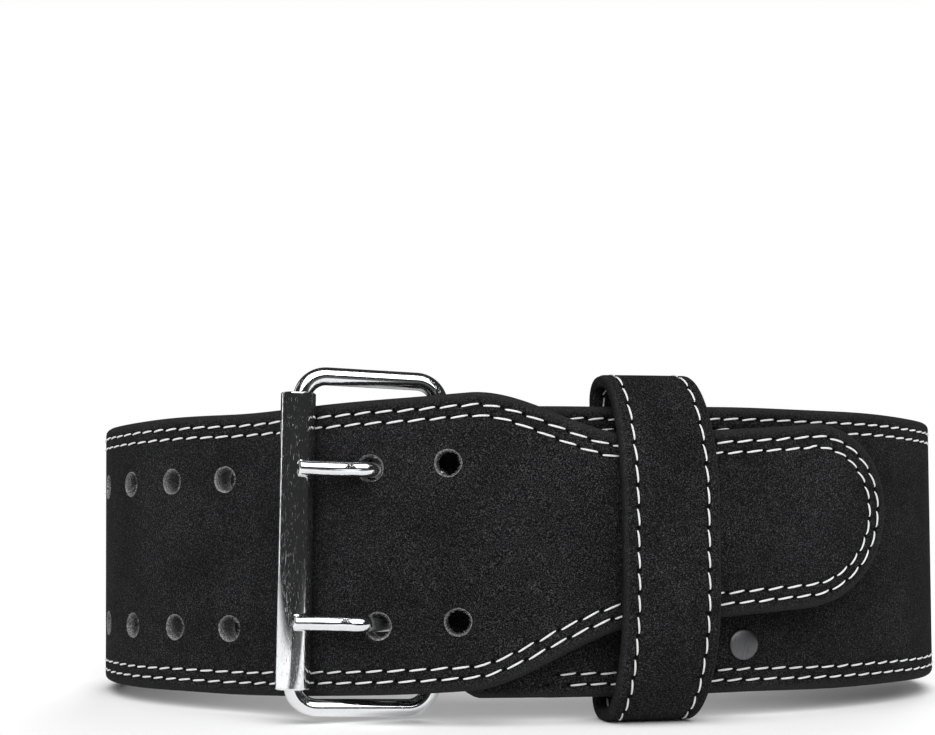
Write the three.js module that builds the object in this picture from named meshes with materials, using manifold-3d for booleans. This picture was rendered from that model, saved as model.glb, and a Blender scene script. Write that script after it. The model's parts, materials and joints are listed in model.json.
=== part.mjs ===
// Weightlifting belt, fastened, standing on its lower edge. Millimetres, +Z up, buckle towards -Y.
import * as THREE from "three";
import { mergeVertices } from "three/addons/utils/BufferGeometryUtils.js";
import { ConvexHull } from "three/addons/math/ConvexHull.js";
import Module from "manifold-3d";

// Clearances
const touchGap = 0.3;
const slideGap = 0.5;
const turnGap = 0.4;

// Oval that the strap's outer face follows: two half ellipses, one towards the front, one towards the back
const ovalHalfLength = 170;
const ovalFrontDepth = 97;
const ovalBackDepth = 99;

// Leather strap
const strapWidth = 101.6;
const strapThickness = 10;
const edgeBevel = 2.2;

// Rivets
const rivetCapDiameter = 11;
const rivetCapHeight = 1.5;
const rivetShankDiameter = 4;
const nearRivetAt = 4;
const farRivetAt = 80.5;
const rivetEdgeMargin = 17.3;
const rivetSpacing = strapWidth - 2 * rivetEdgeMargin;

// Tongue, the outer end that lies over the strap; places along the belt are measured from the front centre
const tongueTipAt = 134;
const tongueInset = 18.3;
const tongueWidth = strapWidth - 2 * tongueInset;
const shoulderStartAt = -16;
const shoulderLength = 58;
const tongueRise = 14.8;
const riseStartAt = -110;
const riseExponent = 1.5;
const tongueGap = rivetCapHeight + 2 * touchGap;
const tongueLevel = strapThickness + tongueGap;
const climbStartAt = -105;
const climbLength = 67;

// Hole rows
const holeDiameter = 8.8;
const holeEdgeMargin = 23.8;
const holeRowSpacing = strapWidth - 2 * holeEdgeMargin;
const firstHoleAt = -21.1;
const prongHoleAt = -47.6;
const rollerHoleAt = -78;
const sideHoleAt = -108.3;
const sideHolePitch = 25.7;
const sideHolePairs = 9;
const sideHoleLean = 2;

// Fold round the hinge bar and the flap behind it
const skivedThickness = 4;
const skiveLength = 16;
const foldInset = 6.8;
const foldWidth = strapWidth - 2 * foldInset;
const foldShoulder = 12;
const foldStraight = 5;
const flapInset = 2.8;
const flapWidth = strapWidth - 2 * flapInset;
const flapCorner = 8;
const flapEndMargin = 13;
const flapSettleLength = 14;

// Buckle
const wireDiameter = 6.3;
const frameSideGap = 3.5;
const frameInnerHeight = strapWidth + 2 * frameSideGap;
const frameCornerRadius = 8.4;
const hingeAt = -30;
const hingeDepth = wireDiameter / 2 + slideGap + skivedThickness;
const frontBarAt = -73.7;
const buckleLift = 3.5;
const buckleLean = 2;
const rollerDiameter = 12;
const rollerWall = 1;
const rollerEndGap = 3.3;
const rollerLength = frameInnerHeight - 2 * rollerEndGap;
const rollerLean = 0.7;
const prongDiameter = 5.4;
const prongInset = 0.7;
const prongOverhang = 1;
const prongSpacing = holeRowSpacing - 2 * prongInset;
const leanFade = 40;

// Keeper loop
const keeperAt = 49.1;
const keeperWidth = 31;
const keeperWall = 4.5;
const keeperSlack = 5.2;
const keeperHeight = strapWidth + 2 * (keeperSlack + keeperWall);
const keeperLift = 1.2;
const keeperLean = 0.18;
const keeperBulge = 4.2;
const keeperFrontDepth = 24;
const keeperFrontHeight = 47;
const keeperBackRadius = 8;
const keeperBevel = 1;
const bulgeMargin = 1.5;
const bulgeRamp = 15;

// Back patch
const patchWidth = 129;
const patchHeight = 76;
const patchThickness = 2;
const patchRimWidth = 3.5;
const patchRecess = 0.6;
const patchLift = 0.9;

// Densities in grams for each cubic millimetre, for the balance point
const leatherDensity = 0.00095;
const steelDensity = 0.00785;
const rubberDensity = 0.0012;

// Facets
const stationStep = 9;
const pinSides = 14;
const rivetSides = 14;
const domeRings = 3;
const wireSides = 12;
const cornerSteps = 5;
const prongSteps = 38;
const rollerSides = 24;

const FULL_TURN = 2 * Math.PI;
const QUARTER_TURN = Math.PI / 2;
const HALF_TURN = Math.PI;

const wasm = await Module();
wasm.setup();

const radians = THREE.MathUtils.degToRad;
const lerp = THREE.MathUtils.lerp;
const ease = (value) => THREE.MathUtils.smoothstep(value, 0, 1);
const range = (count) => Array.from({ length: count }, (_, index) => index);
const spread = (from, to, count) => range(count + 1).map((i) => lerp(from, to, i / count));
const stepped = (from, to) => spread(from, to, Math.max(1, Math.ceil(Math.abs(to - from) / stationStep)));

// The oval in plan, from the back centre past the left end, the front centre and the right end
class WaistOval extends THREE.Curve {
  turn(share) {
    const angle = QUARTER_TURN + FULL_TURN * share;
    const depth = Math.sin(angle) < 0 ? ovalFrontDepth : ovalBackDepth;
    return { cos: Math.cos(angle), sin: Math.sin(angle), depth };
  }
  getPoint(share) {
    const { cos, sin, depth } = this.turn(share);
    return new THREE.Vector3(ovalHalfLength * cos, depth * sin, 0);
  }
  getTangent(share) {
    const { cos, sin, depth } = this.turn(share);
    return new THREE.Vector3(-ovalHalfLength * sin, depth * cos, 0).normalize();
  }
}
const oval = new WaistOval();
oval.arcLengthDivisions = 1440;
const ovalLength = oval.getLength();

// A point of the belt: along the oval from the front centre, outward from the single layer's outer face, and height
function place(along, outward, height) {
  const share = THREE.MathUtils.euclideanModulo(0.5 + along / ovalLength, 1);
  const point = oval.getPointAt(share);
  const tangent = oval.getTangentAt(share);
  return new THREE.Vector3(point.x + tangent.y * outward, point.y - tangent.x * outward, height);
}

// Level of the strap's outer face on its way from the single layer up to the tongue
const outerLevel = (along) => tongueLevel * ease((along - climbStartAt) / climbLength);

// Height of the tongue's centre line, which rises towards the tip
function centreRise(along) {
  const share = THREE.MathUtils.clamp((along - riseStartAt) / (tongueTipAt - riseStartAt), 0, 1);
  return tongueRise * share ** riseExponent;
}

// Half width of the tongue side: full strap, shoulder, narrow tongue, round tip
function halfWidth(along) {
  const full = strapWidth / 2;
  const narrow = tongueWidth / 2;
  const shoulder = full - (full - narrow) * ease((along - shoulderStartAt) / shoulderLength);
  const intoTip = along - (tongueTipAt - narrow);
  return intoTip > 0 ? Math.min(shoulder, Math.sqrt(narrow ** 2 - intoTip ** 2)) : shoulder;
}

// Skins a row of rings to one closed body; a closed row meets its own start, an open one gets flat ends
function loft(rings, closedRow = false) {
  const size = rings[0].length;
  const positions = rings.flat().flatMap((point) => point.toArray());
  const index = [];
  const last = closedRow ? rings.length : rings.length - 1;
  for (let ring = 0; ring < last; ring++) {
    const next = (ring + 1) % rings.length;
    for (let side = 0; side < size; side++) {
      const a = ring * size + side;
      const b = ring * size + ((side + 1) % size);
      const c = next * size + ((side + 1) % size);
      const d = next * size + side;
      index.push(a, b, c, a, c, d);
    }
  }
  if (!closedRow) {
    const end = (rings.length - 1) * size;
    for (let side = 1; side < size - 1; side++) {
      index.push(0, side + 1, side);
      index.push(end, end + side, end + side + 1);
    }
  }
  const geometry = new THREE.BufferGeometry();
  geometry.setAttribute("position", new THREE.Float32BufferAttribute(positions, 3));
  geometry.setIndex(index);
  return geometry;
}

function solidOf(geometry) {
  const bare = geometry.clone();
  bare.deleteAttribute("normal");
  bare.deleteAttribute("uv");
  const merged = mergeVertices(bare, 1e-4);
  const vertProperties = new Float32Array(merged.attributes.position.array);
  const triVerts = new Uint32Array(merged.index.array);
  return new wasm.Manifold(new wasm.Mesh({ numProp: 3, vertProperties, triVerts }));
}

function geometryOf(solid) {
  const mesh = solid.getMesh();
  const geometry = new THREE.BufferGeometry();
  geometry.setAttribute("position", new THREE.BufferAttribute(new Float32Array(mesh.vertProperties), 3));
  geometry.setIndex(new THREE.BufferAttribute(new Uint32Array(mesh.triVerts), 1));
  return geometry;
}

// A curved slab that follows the oval
function slab(alongRange, levelRange, heightRange) {
  const [low, high] = levelRange;
  const [bottom, top] = heightRange;
  const rings = stepped(alongRange[1], alongRange[0]).map((along) => [
    place(along, high, bottom),
    place(along, high, top),
    place(along, low, top),
    place(along, low, bottom),
  ]);
  return solidOf(loft(rings));
}

// A round pin square to the belt, between two levels
function crossPin(along, height, levelFrom, levelTo, diameter) {
  const inner = place(along, levelFrom, height);
  const outer = place(along, levelTo, height);
  const pin = new THREE.CylinderGeometry(diameter / 2, diameter / 2, inner.distanceTo(outer), pinSides);
  const direction = outer.clone().sub(inner).normalize();
  const turn = new THREE.Quaternion().setFromUnitVectors(new THREE.Vector3(0, 1, 0), direction);
  pin.applyQuaternion(turn);
  pin.translate(...inner.add(outer).multiplyScalar(0.5).toArray());
  return solidOf(pin);
}

// Buckle frame of reference: x from the front bar to the hinge bar, z up, y towards the waist
const rollerRadius = rollerDiameter / 2;
const climbSlope = (outerLevel(frontBarAt + 1) - outerLevel(frontBarAt - 1)) / 2;
const frontBarLevel = outerLevel(frontBarAt) + (rollerRadius + touchGap) * Math.hypot(1, climbSlope) + touchGap;
const hingePoint = place(hingeAt, -hingeDepth, buckleLift);
const frontBarPoint = place(frontBarAt, frontBarLevel, buckleLift);
const buckleLength = hingePoint.distanceTo(frontBarPoint);
const buckleWay = hingePoint.clone().sub(frontBarPoint).normalize();
const buckle = new THREE.Group();
const buckleInward = new THREE.Vector3(0, 0, 1).cross(buckleWay);
buckle.applyMatrix4(new THREE.Matrix4().makeBasis(buckleWay, buckleInward, new THREE.Vector3(0, 0, 1)));
buckle.position.addVectors(hingePoint, frontBarPoint).multiplyScalar(0.5);
buckle.rotateY(radians(buckleLean));
buckle.updateMatrixWorld(true);

// Plan point of the belt in the buckle's own frame: x and outward
function inBuckle(along, level) {
  const offset = place(along, level, buckleLift).sub(buckle.position);
  return new THREE.Vector2(offset.dot(buckleWay), -offset.dot(buckleInward));
}

// Leather near the hinge bar leans with the bar
const leanSlope = Math.tan(radians(buckleLean));
function leanWithBuckle(point, weight) {
  return point.addScaledVector(buckleWay, weight * leanSlope * (point.z - buckleLift));
}

// Keeper loop: its middle along the belt moves back with depth, because the loop leans
const keeperFrontLevel = tongueLevel + touchGap + keeperWall + keeperBulge;
const keeperBackLevel = -strapThickness - touchGap - keeperWall;
const keeperMiddle = (level) => keeperAt - keeperLean * (keeperFrontLevel - level);

// Level of the flap's middle: flat behind the strap, bulged where the keeper passes behind it
const flapLevel = -strapThickness - touchGap - skivedThickness / 2;
function flapMiddle(along) {
  const bulgeHalf = keeperWidth / 2 + bulgeMargin;
  const past = Math.abs(along - keeperMiddle(keeperBackLevel)) - bulgeHalf;
  return flapLevel - (keeperWall + touchGap) * ease(1 - past / bulgeRamp);
}

// Stations of the strap, from the tongue tip round the waist, round the hinge bar and along the flap
function strapStations() {
  const stations = [];
  const add = (along, level, thickness, half, lean) =>
    stations.push({ along, level, thickness, half, lean, rise: centreRise(along) });
  const addOuter = (along) =>
    add(along, outerLevel(along) - strapThickness / 2, strapThickness, halfWidth(along), 0);

  // Round tip, narrow tongue, shoulder, climb and waist
  const narrow = tongueWidth / 2;
  const tipTurns = spread(radians(9), QUARTER_TURN, 8).slice(0, -1);
  tipTurns.forEach((angle) => addOuter(tongueTipAt - narrow + narrow * Math.cos(angle)));
  stepped(tongueTipAt - narrow, climbStartAt).forEach(addOuter);
  const hingeUnrolled = hingeAt - ovalLength;
  stepped(climbStartAt, hingeUnrolled + leanFade).slice(1).forEach(addOuter);

  // Skived end up to the hinge bar
  const foldHalf = foldWidth / 2;
  spread(leanFade, 0, 16)
    .slice(1)
    .forEach((ahead) => {
      const skive = ease(1 - (ahead - foldStraight) / skiveLength);
      const thickness = lerp(strapThickness, skivedThickness, skive);
      const half = lerp(strapWidth / 2, foldHalf, ease(1 - (ahead - foldStraight) / foldShoulder));
      add(hingeUnrolled + ahead, -thickness / 2, thickness, half, ease(1 - ahead / leanFade));
    });

  // Fold round the bar
  const foldRadius = wireDiameter / 2 + slideGap + skivedThickness / 2;
  spread(QUARTER_TURN, QUARTER_TURN + HALF_TURN, 8)
    .slice(1)
    .forEach((angle) => {
      const along = hingeUnrolled + foldRadius * Math.cos(angle);
      add(along, foldRadius * Math.sin(angle) - hingeDepth, skivedThickness, foldHalf, 1);
    });

  // Flap on the inside, with round corners at its end
  const foldedLevel = -hingeDepth - foldRadius;
  const flapEnd = farRivetAt + flapEndMargin;
  const addFlap = (at, half) => {
    const settle = ease((at - hingeAt) / flapSettleLength);
    const widen = ease((at - hingeAt - foldStraight) / foldShoulder);
    const level = lerp(foldedLevel, flapMiddle(at), settle);
    const lean = ease(1 - (at - hingeAt) / leanFade);
    add(at - ovalLength, level, skivedThickness, lerp(foldHalf, half, widen), lean);
  };
  spread(hingeAt, flapEnd - flapCorner, 30)
    .slice(1)
    .forEach((at) => addFlap(at, flapWidth / 2));
  spread(0, QUARTER_TURN, 4)
    .slice(1)
    .forEach((angle) => {
      const half = flapWidth / 2 - flapCorner * (1 - Math.cos(angle));
      addFlap(flapEnd - flapCorner * (1 - Math.sin(angle)), half);
    });
  return stations;
}

// Leather section with bevelled edges, square to the strap's way through the stations before and after it
function strapRing(station, before, after) {
  const way = new THREE.Vector2(after.along - before.along, after.level - before.level).normalize();
  const bevel = Math.min(edgeBevel, station.half * 0.45, station.thickness * 0.45);
  const t = station.thickness / 2;
  const h = station.half;
  const corners = [
    [t, h - bevel],
    [t - bevel, h],
    [bevel - t, h],
    [-t, h - bevel],
    [-t, bevel - h],
    [bevel - t, -h],
    [t - bevel, -h],
    [t, bevel - h],
  ];
  return corners.map(([across, up]) => {
    const along = station.along + way.y * across;
    const level = station.level - way.x * across;
    return leanWithBuckle(place(along, level, station.rise + up), station.lean);
  });
}

// Prong: curled round the hinge bar, up through its hole and flat onto the roller
const curlRadius = wireDiameter / 2 + touchGap + prongDiameter / 2;
function prongPath() {
  const hinge = new THREE.Vector2(buckleLength / 2, 0);
  const under = outerLevel(prongHoleAt) - strapThickness - turnGap - prongDiameter / 2;
  const over = outerLevel(prongHoleAt) + prongDiameter / 2;
  const curl = spread(radians(-150), radians(95), 18).map((angle) =>
    hinge.clone().add(new THREE.Vector2(Math.cos(angle), Math.sin(angle)).multiplyScalar(curlRadius)),
  );
  const rest = rollerRadius + touchGap + prongDiameter / 2;
  const tip = new THREE.Vector2(-buckleLength / 2 - prongOverhang, rest);
  const halfHole = holeDiameter / 2;
  const through = [
    inBuckle(lerp(prongHoleAt + halfHole, hingeAt, 0.35), under - 0.1),
    inBuckle(prongHoleAt + halfHole, under + 0.8),
    inBuckle(prongHoleAt + 0.45 * halfHole, lerp(under, over, 0.35)),
    inBuckle(prongHoleAt, lerp(under, over, 0.72)),
    inBuckle(prongHoleAt - 0.6 * halfHole, over + 0.6),
  ];
  const run = [0.3, 0.65].map((share) => {
    const from = through[through.length - 1];
    const point = from.clone().lerp(tip, share);
    point.y += (tip.y - from.y) * 0.55 * Math.sin(HALF_TURN * share);
    return point;
  });
  const points = [...curl, ...through, ...run, tip].map((point) => new THREE.Vector3(point.x, -point.y, 0));
  return new THREE.CatmullRomCurve3(points);
}

function prongGeometry(diameter, height) {
  const circle = new THREE.Shape().absarc(0, 0, diameter / 2, 0, FULL_TURN, false);
  const options = { steps: prongSteps, curveSegments: wireSides / 3, bevelEnabled: false, extrudePath: prongPath() };
  return new THREE.ExtrudeGeometry(circle, options).translate(0, 0, height);
}

// Prongs stand level with the two hole rows
const prongMiddle = centreRise(prongHoleAt) - buckleLift;
const prongHeights = { upper: prongMiddle + prongSpacing / 2, lower: prongMiddle - prongSpacing / 2 };

// Pairs of holes: square to the tongue's rise in front, leaning less and less towards the back
const holePairs = [
  ...[firstHoleAt, prongHoleAt, rollerHoleAt].map((at) => ({
    at,
    lean: Math.atan(centreRise(at + 0.5) - centreRise(at - 0.5)),
  })),
  ...spread(0, 1, sideHolePairs - 1).map((share) => ({
    at: sideHoleAt - share * (sideHolePairs - 1) * sideHolePitch,
    lean: radians(lerp(sideHoleLean, 0, share)),
  })),
];

// Strap with its holes, the prongs' way through it, the slots in the fold and the rivet holes
function beltStrap() {
  const stations = strapStations();
  const rings = stations.map((station, i) =>
    strapRing(station, stations[Math.max(0, i - 1)], stations[Math.min(stations.length - 1, i + 1)]),
  );
  let strap = solidOf(loft(rings));
  for (const { at, lean } of holePairs) {
    const outer = outerLevel(at);
    for (const side of [-1, 1]) {
      const reach = (side * holeRowSpacing) / 2;
      const along = at - reach * Math.sin(lean);
      const height = centreRise(at) + reach * Math.cos(lean);
      const inner = outer - strapThickness - tongueGap / 2;
      strap = strap.subtract(crossPin(along, height, inner, outer + slideGap, holeDiameter));
    }
  }
  const slotRadius = curlRadius + prongDiameter / 2 + turnGap;
  const slotWidth = prongDiameter + 2 * (turnGap + slideGap);
  const reach = slotRadius + stationStep;
  const belowTongue = [hingeAt - reach, hingeAt + reach];
  const clearOfTongue = slab(belowTongue, [-2 * slotRadius - hingeDepth, tongueGap / 2], [-strapWidth, strapWidth]);
  for (const height of Object.values(prongHeights)) {
    const slot = new THREE.CylinderGeometry(slotRadius, slotRadius, slotWidth, rollerSides);
    slot.rotateX(QUARTER_TURN).translate(buckleLength / 2, 0, height).applyMatrix4(buckle.matrixWorld);
    strap = strap.subtract(solidOf(slot).intersect(clearOfTongue));
    const way = prongGeometry(prongDiameter + 2 * turnGap, height).applyMatrix4(buckle.matrixWorld);
    strap = strap.subtract(solidOf(way));
  }
  for (const { at, height } of rivetPlaces) {
    const inner = flapLevel - skivedThickness;
    strap = strap.subtract(crossPin(at, height, inner, touchGap, rivetShankDiameter + 2 * touchGap));
  }
  return geometryOf(strap);
}

// Rivet: domed cap outside, shank, flatter cap on the flap
const rivetPlaces = [
  { name: "rivet_near_upper", at: nearRivetAt, height: rivetSpacing / 2 },
  { name: "rivet_near_lower", at: nearRivetAt, height: -rivetSpacing / 2 },
  { name: "rivet_far_upper", at: farRivetAt, height: rivetSpacing / 2 },
  { name: "rivet_far_lower", at: farRivetAt, height: -rivetSpacing / 2 },
];
function rivet(at, height) {
  const cap = rivetCapDiameter / 2;
  const shank = rivetShankDiameter / 2;
  const seat = strapThickness + skivedThickness + 3 * touchGap;
  const dome = (side, base) =>
    spread(0, 1, domeRings).map((s) => {
      const bow = QUARTER_TURN * s;
      const rim = 0.25 * rivetCapHeight;
      const rise = rim + (rivetCapHeight - rim) * Math.cos(bow);
      return new THREE.Vector2(cap * Math.sin(bow), base + side * rise);
    });
  const profile = [
    ...dome(-1, -seat),
    new THREE.Vector2(cap, -seat),
    new THREE.Vector2(shank, -seat),
    new THREE.Vector2(shank, 0),
    new THREE.Vector2(cap, 0),
    ...dome(1, 0).reverse(),
  ];
  const geometry = new THREE.LatheGeometry(profile, rivetSides);
  const foot = place(at, touchGap, height);
  const outward = place(at, touchGap + 1, height).sub(foot);
  geometry.applyQuaternion(new THREE.Quaternion().setFromUnitVectors(new THREE.Vector3(0, 1, 0), outward));
  return geometry.translate(foot.x, foot.y, foot.z);
}

// Rounded rectangle in a plane: corner centres, radii across and up, and first angles, walked round once
function roundedLoop(corners, arcSteps) {
  return corners.flatMap(({ x, z, radius, tall = radius, from }) =>
    spread(from, from + QUARTER_TURN, arcSteps).map((angle) => ({
      x: x + radius * Math.cos(angle),
      z: z + tall * Math.sin(angle),
      out: new THREE.Vector2(Math.cos(angle) / radius, Math.sin(angle) / tall).normalize(),
    })),
  );
}

function keeperLoop() {
  const wall = keeperWall / 2;
  const x = keeperFrontLevel - keeperFrontDepth;
  const z = keeperHeight / 2 - keeperFrontHeight;
  const radius = keeperFrontDepth - wall;
  const tall = keeperFrontHeight - wall;
  const back = keeperBackLevel + keeperBackRadius;
  const topBack = keeperHeight / 2 - keeperBackRadius;
  const corners = [
    { x, z, radius, tall, from: 0 },
    { x: back, z: topBack, radius: keeperBackRadius - wall, from: QUARTER_TURN },
    { x: back, z: -topBack, radius: keeperBackRadius - wall, from: HALF_TURN },
    { x, z: -z, radius, tall, from: HALF_TURN + QUARTER_TURN },
  ];
  const half = keeperWidth / 2;
  const face = spread(keeperBevel - half, half - keeperBevel, 4);
  const section = [
    ...face.map((side) => [side, wall]),
    [half, wall - keeperBevel],
    [half, keeperBevel - wall],
    ...face.toReversed().map((side) => [side, -wall]),
    [-half, keeperBevel - wall],
    [-half, wall - keeperBevel],
  ];
  const rings = roundedLoop(corners, cornerSteps + 1).map(({ x, z, out }) =>
    section.map(([side, off]) => {
      const level = x + out.x * off;
      return place(keeperMiddle(level) + side, level, keeperLift + z + out.y * off);
    }),
  );
  return loft(rings, true);
}

// Buckle frame: round wire on a rounded rectangle through the front bar and the hinge bar
function buckleFrame() {
  const x = buckleLength / 2 - frameCornerRadius;
  const z = (frameInnerHeight + wireDiameter) / 2 - frameCornerRadius;
  const corners = [
    { x, z, radius: frameCornerRadius, from: 0 },
    { x: -x, z, radius: frameCornerRadius, from: QUARTER_TURN },
    { x: -x, z: -z, radius: frameCornerRadius, from: HALF_TURN },
    { x, z: -z, radius: frameCornerRadius, from: HALF_TURN + QUARTER_TURN },
  ];
  const rings = roundedLoop(corners, cornerSteps).map((point) =>
    spread(0, FULL_TURN, wireSides)
      .slice(1)
      .map((angle) => {
        const across = (wireDiameter / 2) * Math.cos(angle);
        const deep = (wireDiameter / 2) * Math.sin(angle);
        return new THREE.Vector3(point.x + point.out.x * across, deep, point.z + point.out.y * across);
      }),
  );
  return loft(rings, true);
}

// Roller: thin tube that hangs slightly askew on the front bar, level with it at its lower end
function buckleRoller() {
  const inner = rollerRadius - rollerWall;
  const end = rollerLength / 2;
  const profile = [
    new THREE.Vector2(inner, end),
    new THREE.Vector2(inner, -end),
    new THREE.Vector2(rollerRadius, -end),
    new THREE.Vector2(rollerRadius, end),
    new THREE.Vector2(inner, end),
  ];
  return new THREE.LatheGeometry(profile, rollerSides).rotateX(QUARTER_TURN);
}

function backPatch() {
  const middle = ovalLength / 2;
  const x = patchWidth / 2;
  const z = patchHeight / 2;
  const top = touchGap + patchThickness;
  const plate = slab([middle - x, middle + x], [touchGap, top], [patchLift - z, patchLift + z]);
  const panelX = x - patchRimWidth;
  const panelZ = z - patchRimWidth;
  const recess = slab(
    [middle - panelX, middle + panelX],
    [top - patchRecess, top + patchRecess],
    [patchLift - panelZ, patchLift + panelZ],
  );
  return geometryOf(plate.subtract(recess));
}

function finish(color, roughness, metalness) {
  return new THREE.MeshStandardMaterial({ color, roughness, metalness });
}
const suede = finish(0x1d1d1e, 0.95, 0);
const chrome = finish(0xc9cbce, 0.12, 1);
const gunmetal = finish(0x3c3c3d, 0.45, 1);
const rubber = finish(0x171717, 0.6, 0);

const belt = new THREE.Group();
function addPiece(name, geometry, material, density, holder = belt) {
  const mesh = new THREE.Mesh(geometry, material);
  mesh.name = name;
  mesh.userData.density = density;
  holder.add(mesh);
  return mesh;
}

belt.add(buckle);
addPiece("belt_strap", beltStrap(), suede, leatherDensity);
addPiece("keeper_loop", keeperLoop(), suede, leatherDensity);
addPiece("buckle_frame", buckleFrame(), chrome, steelDensity, buckle);
const roller = addPiece("buckle_roller", buckleRoller(), chrome, steelDensity, buckle);
const rollerShift = (rollerLength / 2) * Math.sin(radians(rollerLean));
roller.position.x = -buckleLength / 2 - rollerShift;
roller.rotation.y = -radians(rollerLean);
addPiece("prong_upper", prongGeometry(prongDiameter, prongHeights.upper), chrome, steelDensity, buckle);
addPiece("prong_lower", prongGeometry(prongDiameter, prongHeights.lower), chrome, steelDensity, buckle);
rivetPlaces.forEach(({ name, at, height }) => addPiece(name, rivet(at, height), gunmetal, steelDensity));
addPiece("back_patch", backPatch(), rubber, rubberDensity);

// Balance point of all pieces and every corner point, in the belt's own frame
function weigh(root) {
  const points = [];
  const moment = new THREE.Vector3();
  let mass = 0;
  root.updateMatrixWorld(true);
  root.traverse((mesh) => {
    if (!mesh.isMesh) return;
    const geometry = mesh.geometry.index ? mesh.geometry.toNonIndexed() : mesh.geometry.clone();
    const position = geometry.applyMatrix4(mesh.matrixWorld).attributes.position;
    const corner = (i) => new THREE.Vector3().fromBufferAttribute(position, i);
    for (let i = 0; i < position.count; i += 3) {
      const [a, b, c] = [corner(i), corner(i + 1), corner(i + 2)];
      const weight = (mesh.userData.density * a.dot(b.clone().cross(c))) / 6;
      mass += weight;
      moment.addScaledVector(a.clone().add(b).add(c), weight / 4);
      points.push(a, b, c);
    }
  });
  return { points, mass, balance: moment.divideScalar(mass) };
}

// The face of the convex hull that lies under the balance point is the one the belt stands on
function standingFace(points, balance) {
  const down = new THREE.Vector3(0, 0, -1);
  const ray = new THREE.Ray();
  const faces = new ConvexHull().setFromPoints(points).faces.filter((face) => face.normal.dot(down) > 0.9);
  return faces.find((face) => {
    const [a, b, c] = range(3).map((i) => face.getEdge(i).head().point);
    ray.set(balance, face.normal);
    return ray.intersectTriangle(a, b, c, false, new THREE.Vector3()) !== null;
  });
}

const { points, balance } = weigh(belt);
const face = standingFace(points, balance);
const standing = new THREE.Quaternion().setFromUnitVectors(face.normal, new THREE.Vector3(0, 0, -1));
const box = new THREE.Box3().setFromPoints(points.map((point) => point.clone().applyQuaternion(standing)));
belt.quaternion.copy(standing);
belt.position.set(-(box.min.x + box.max.x) / 2, -(box.min.y + box.max.y) / 2, -box.min.z);

const group = new THREE.Group();
group.add(belt);

export default group;
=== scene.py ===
"""A suede weightlifting belt, fastened in an oval: its finished surfaces, built round the packed frame.

Lengths are in metres. Every piece is worked out in the belt's own frame, where the oval lies flat and
centred, and is then turned to the way that the belt stands.
"""

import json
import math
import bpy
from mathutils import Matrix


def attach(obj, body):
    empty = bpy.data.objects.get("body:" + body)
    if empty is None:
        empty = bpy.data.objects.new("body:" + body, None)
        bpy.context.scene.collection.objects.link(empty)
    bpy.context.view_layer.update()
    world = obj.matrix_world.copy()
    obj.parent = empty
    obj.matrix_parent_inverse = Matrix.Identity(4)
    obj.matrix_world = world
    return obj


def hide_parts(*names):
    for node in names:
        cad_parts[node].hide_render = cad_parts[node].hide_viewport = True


bl_info = {
    "name": "Weightlifting Belt",
    "version": (1, 0, 0),
    "blender": (4, 5, 0),
    "location": "3D View > Sidebar > Belt",
    "description": "Builds a suede weightlifting belt with a roller buckle round its packed frame",
    "category": "Add Mesh",
}

from types import SimpleNamespace

import bmesh
import bpy
import numpy as np
from bpy.props import FloatProperty, FloatVectorProperty, IntProperty, PointerProperty
from mathutils import Matrix, Vector
from mathutils.kdtree import KDTree

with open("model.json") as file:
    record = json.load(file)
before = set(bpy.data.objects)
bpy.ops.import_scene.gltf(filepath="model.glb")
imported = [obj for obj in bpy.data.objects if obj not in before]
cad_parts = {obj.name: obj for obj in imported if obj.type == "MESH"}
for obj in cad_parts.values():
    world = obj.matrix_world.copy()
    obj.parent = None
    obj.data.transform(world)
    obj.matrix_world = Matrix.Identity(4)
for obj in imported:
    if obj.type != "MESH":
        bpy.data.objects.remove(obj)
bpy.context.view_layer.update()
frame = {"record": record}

IMAGE_WIDTH = 935
IMAGE_HEIGHT = 735
SENSOR_WIDTH = 36.0
SEED = 7
UP = np.array([0.0, 0.0, 1.0])

# A small step outward, from which the way outward is worked out
PROBE = 0.001

# Steps of the oval's measured length, and the cross sections within one stitch
OVAL_STEPS = 1440
STITCH_PLACES = (0.0, 0.08, 0.25, 0.42, 0.5, 0.58, 0.75, 0.92)

# Reach of the dimple at a stitch's end, in stitches, and how far its painted pit shade spreads over the
# groove
DIMPLE_REACH = 0.12
PIT_SHADE_SPREAD = 1.7

# The spot on the lower edge that the belt rests on: along from the back centre, and outward
REST_SPOT = (0.003, -0.004)

# Flare of a punched hole: heights over the face, each with its extra radius
HOLE_FLARE = (
    (0.0006, 0.00075),
    (0.0, 0.00042),
    (-0.00035, 0.00012),
    (-0.0011, 0.0),
    (-0.0022, 0.0),
    (-0.0036, 0.0),
)

# Depth over which a hole's wall is painted darker: painted shade inside the hole
CUT_SHADE = 0.0062

# Fibres in the holes: their number, least and most length and width, painted lightness and faces
FIBRES_PER_HOLE = 260
FIBRE_LENGTHS = (0.0005, 0.0013)
FIBRE_WIDTHS = (0.00005, 0.00012)
FIBRE_PAINTED_LIGHT = 0.8
FIBRE_FACES = [(0, 1, 4, 3), (1, 2, 5, 4), (2, 0, 3, 5), (3, 4, 6), (4, 5, 6), (5, 3, 6), (2, 1, 0)]

# Inlays of the patch: the barbell's height, and each disc's near and far side and half height
BARBELL_LEVEL = 0.005
DISCS = ((0.0100, 0.0150, 0.0185), (0.0158, 0.0200, 0.0145), (0.0208, 0.0242, 0.0095))

# Where the floor's painted dark reflection begins and is full, ahead of the belt and across
DARK_REFLECTION_AHEAD = (-0.24, -0.36)
DARK_REFLECTION_ACROSS = (-0.26, -0.12)


# Properties


def length(name, default, description):
    """A length in metres that a user can change."""
    return FloatProperty(
        name=name, description=description, default=default, precision=5, unit="LENGTH", subtype="DISTANCE"
    )


def number(name, default, description, unit="NONE"):
    """A plain number that a user can change."""
    return FloatProperty(name=name, description=description, default=default, unit=unit)


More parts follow.
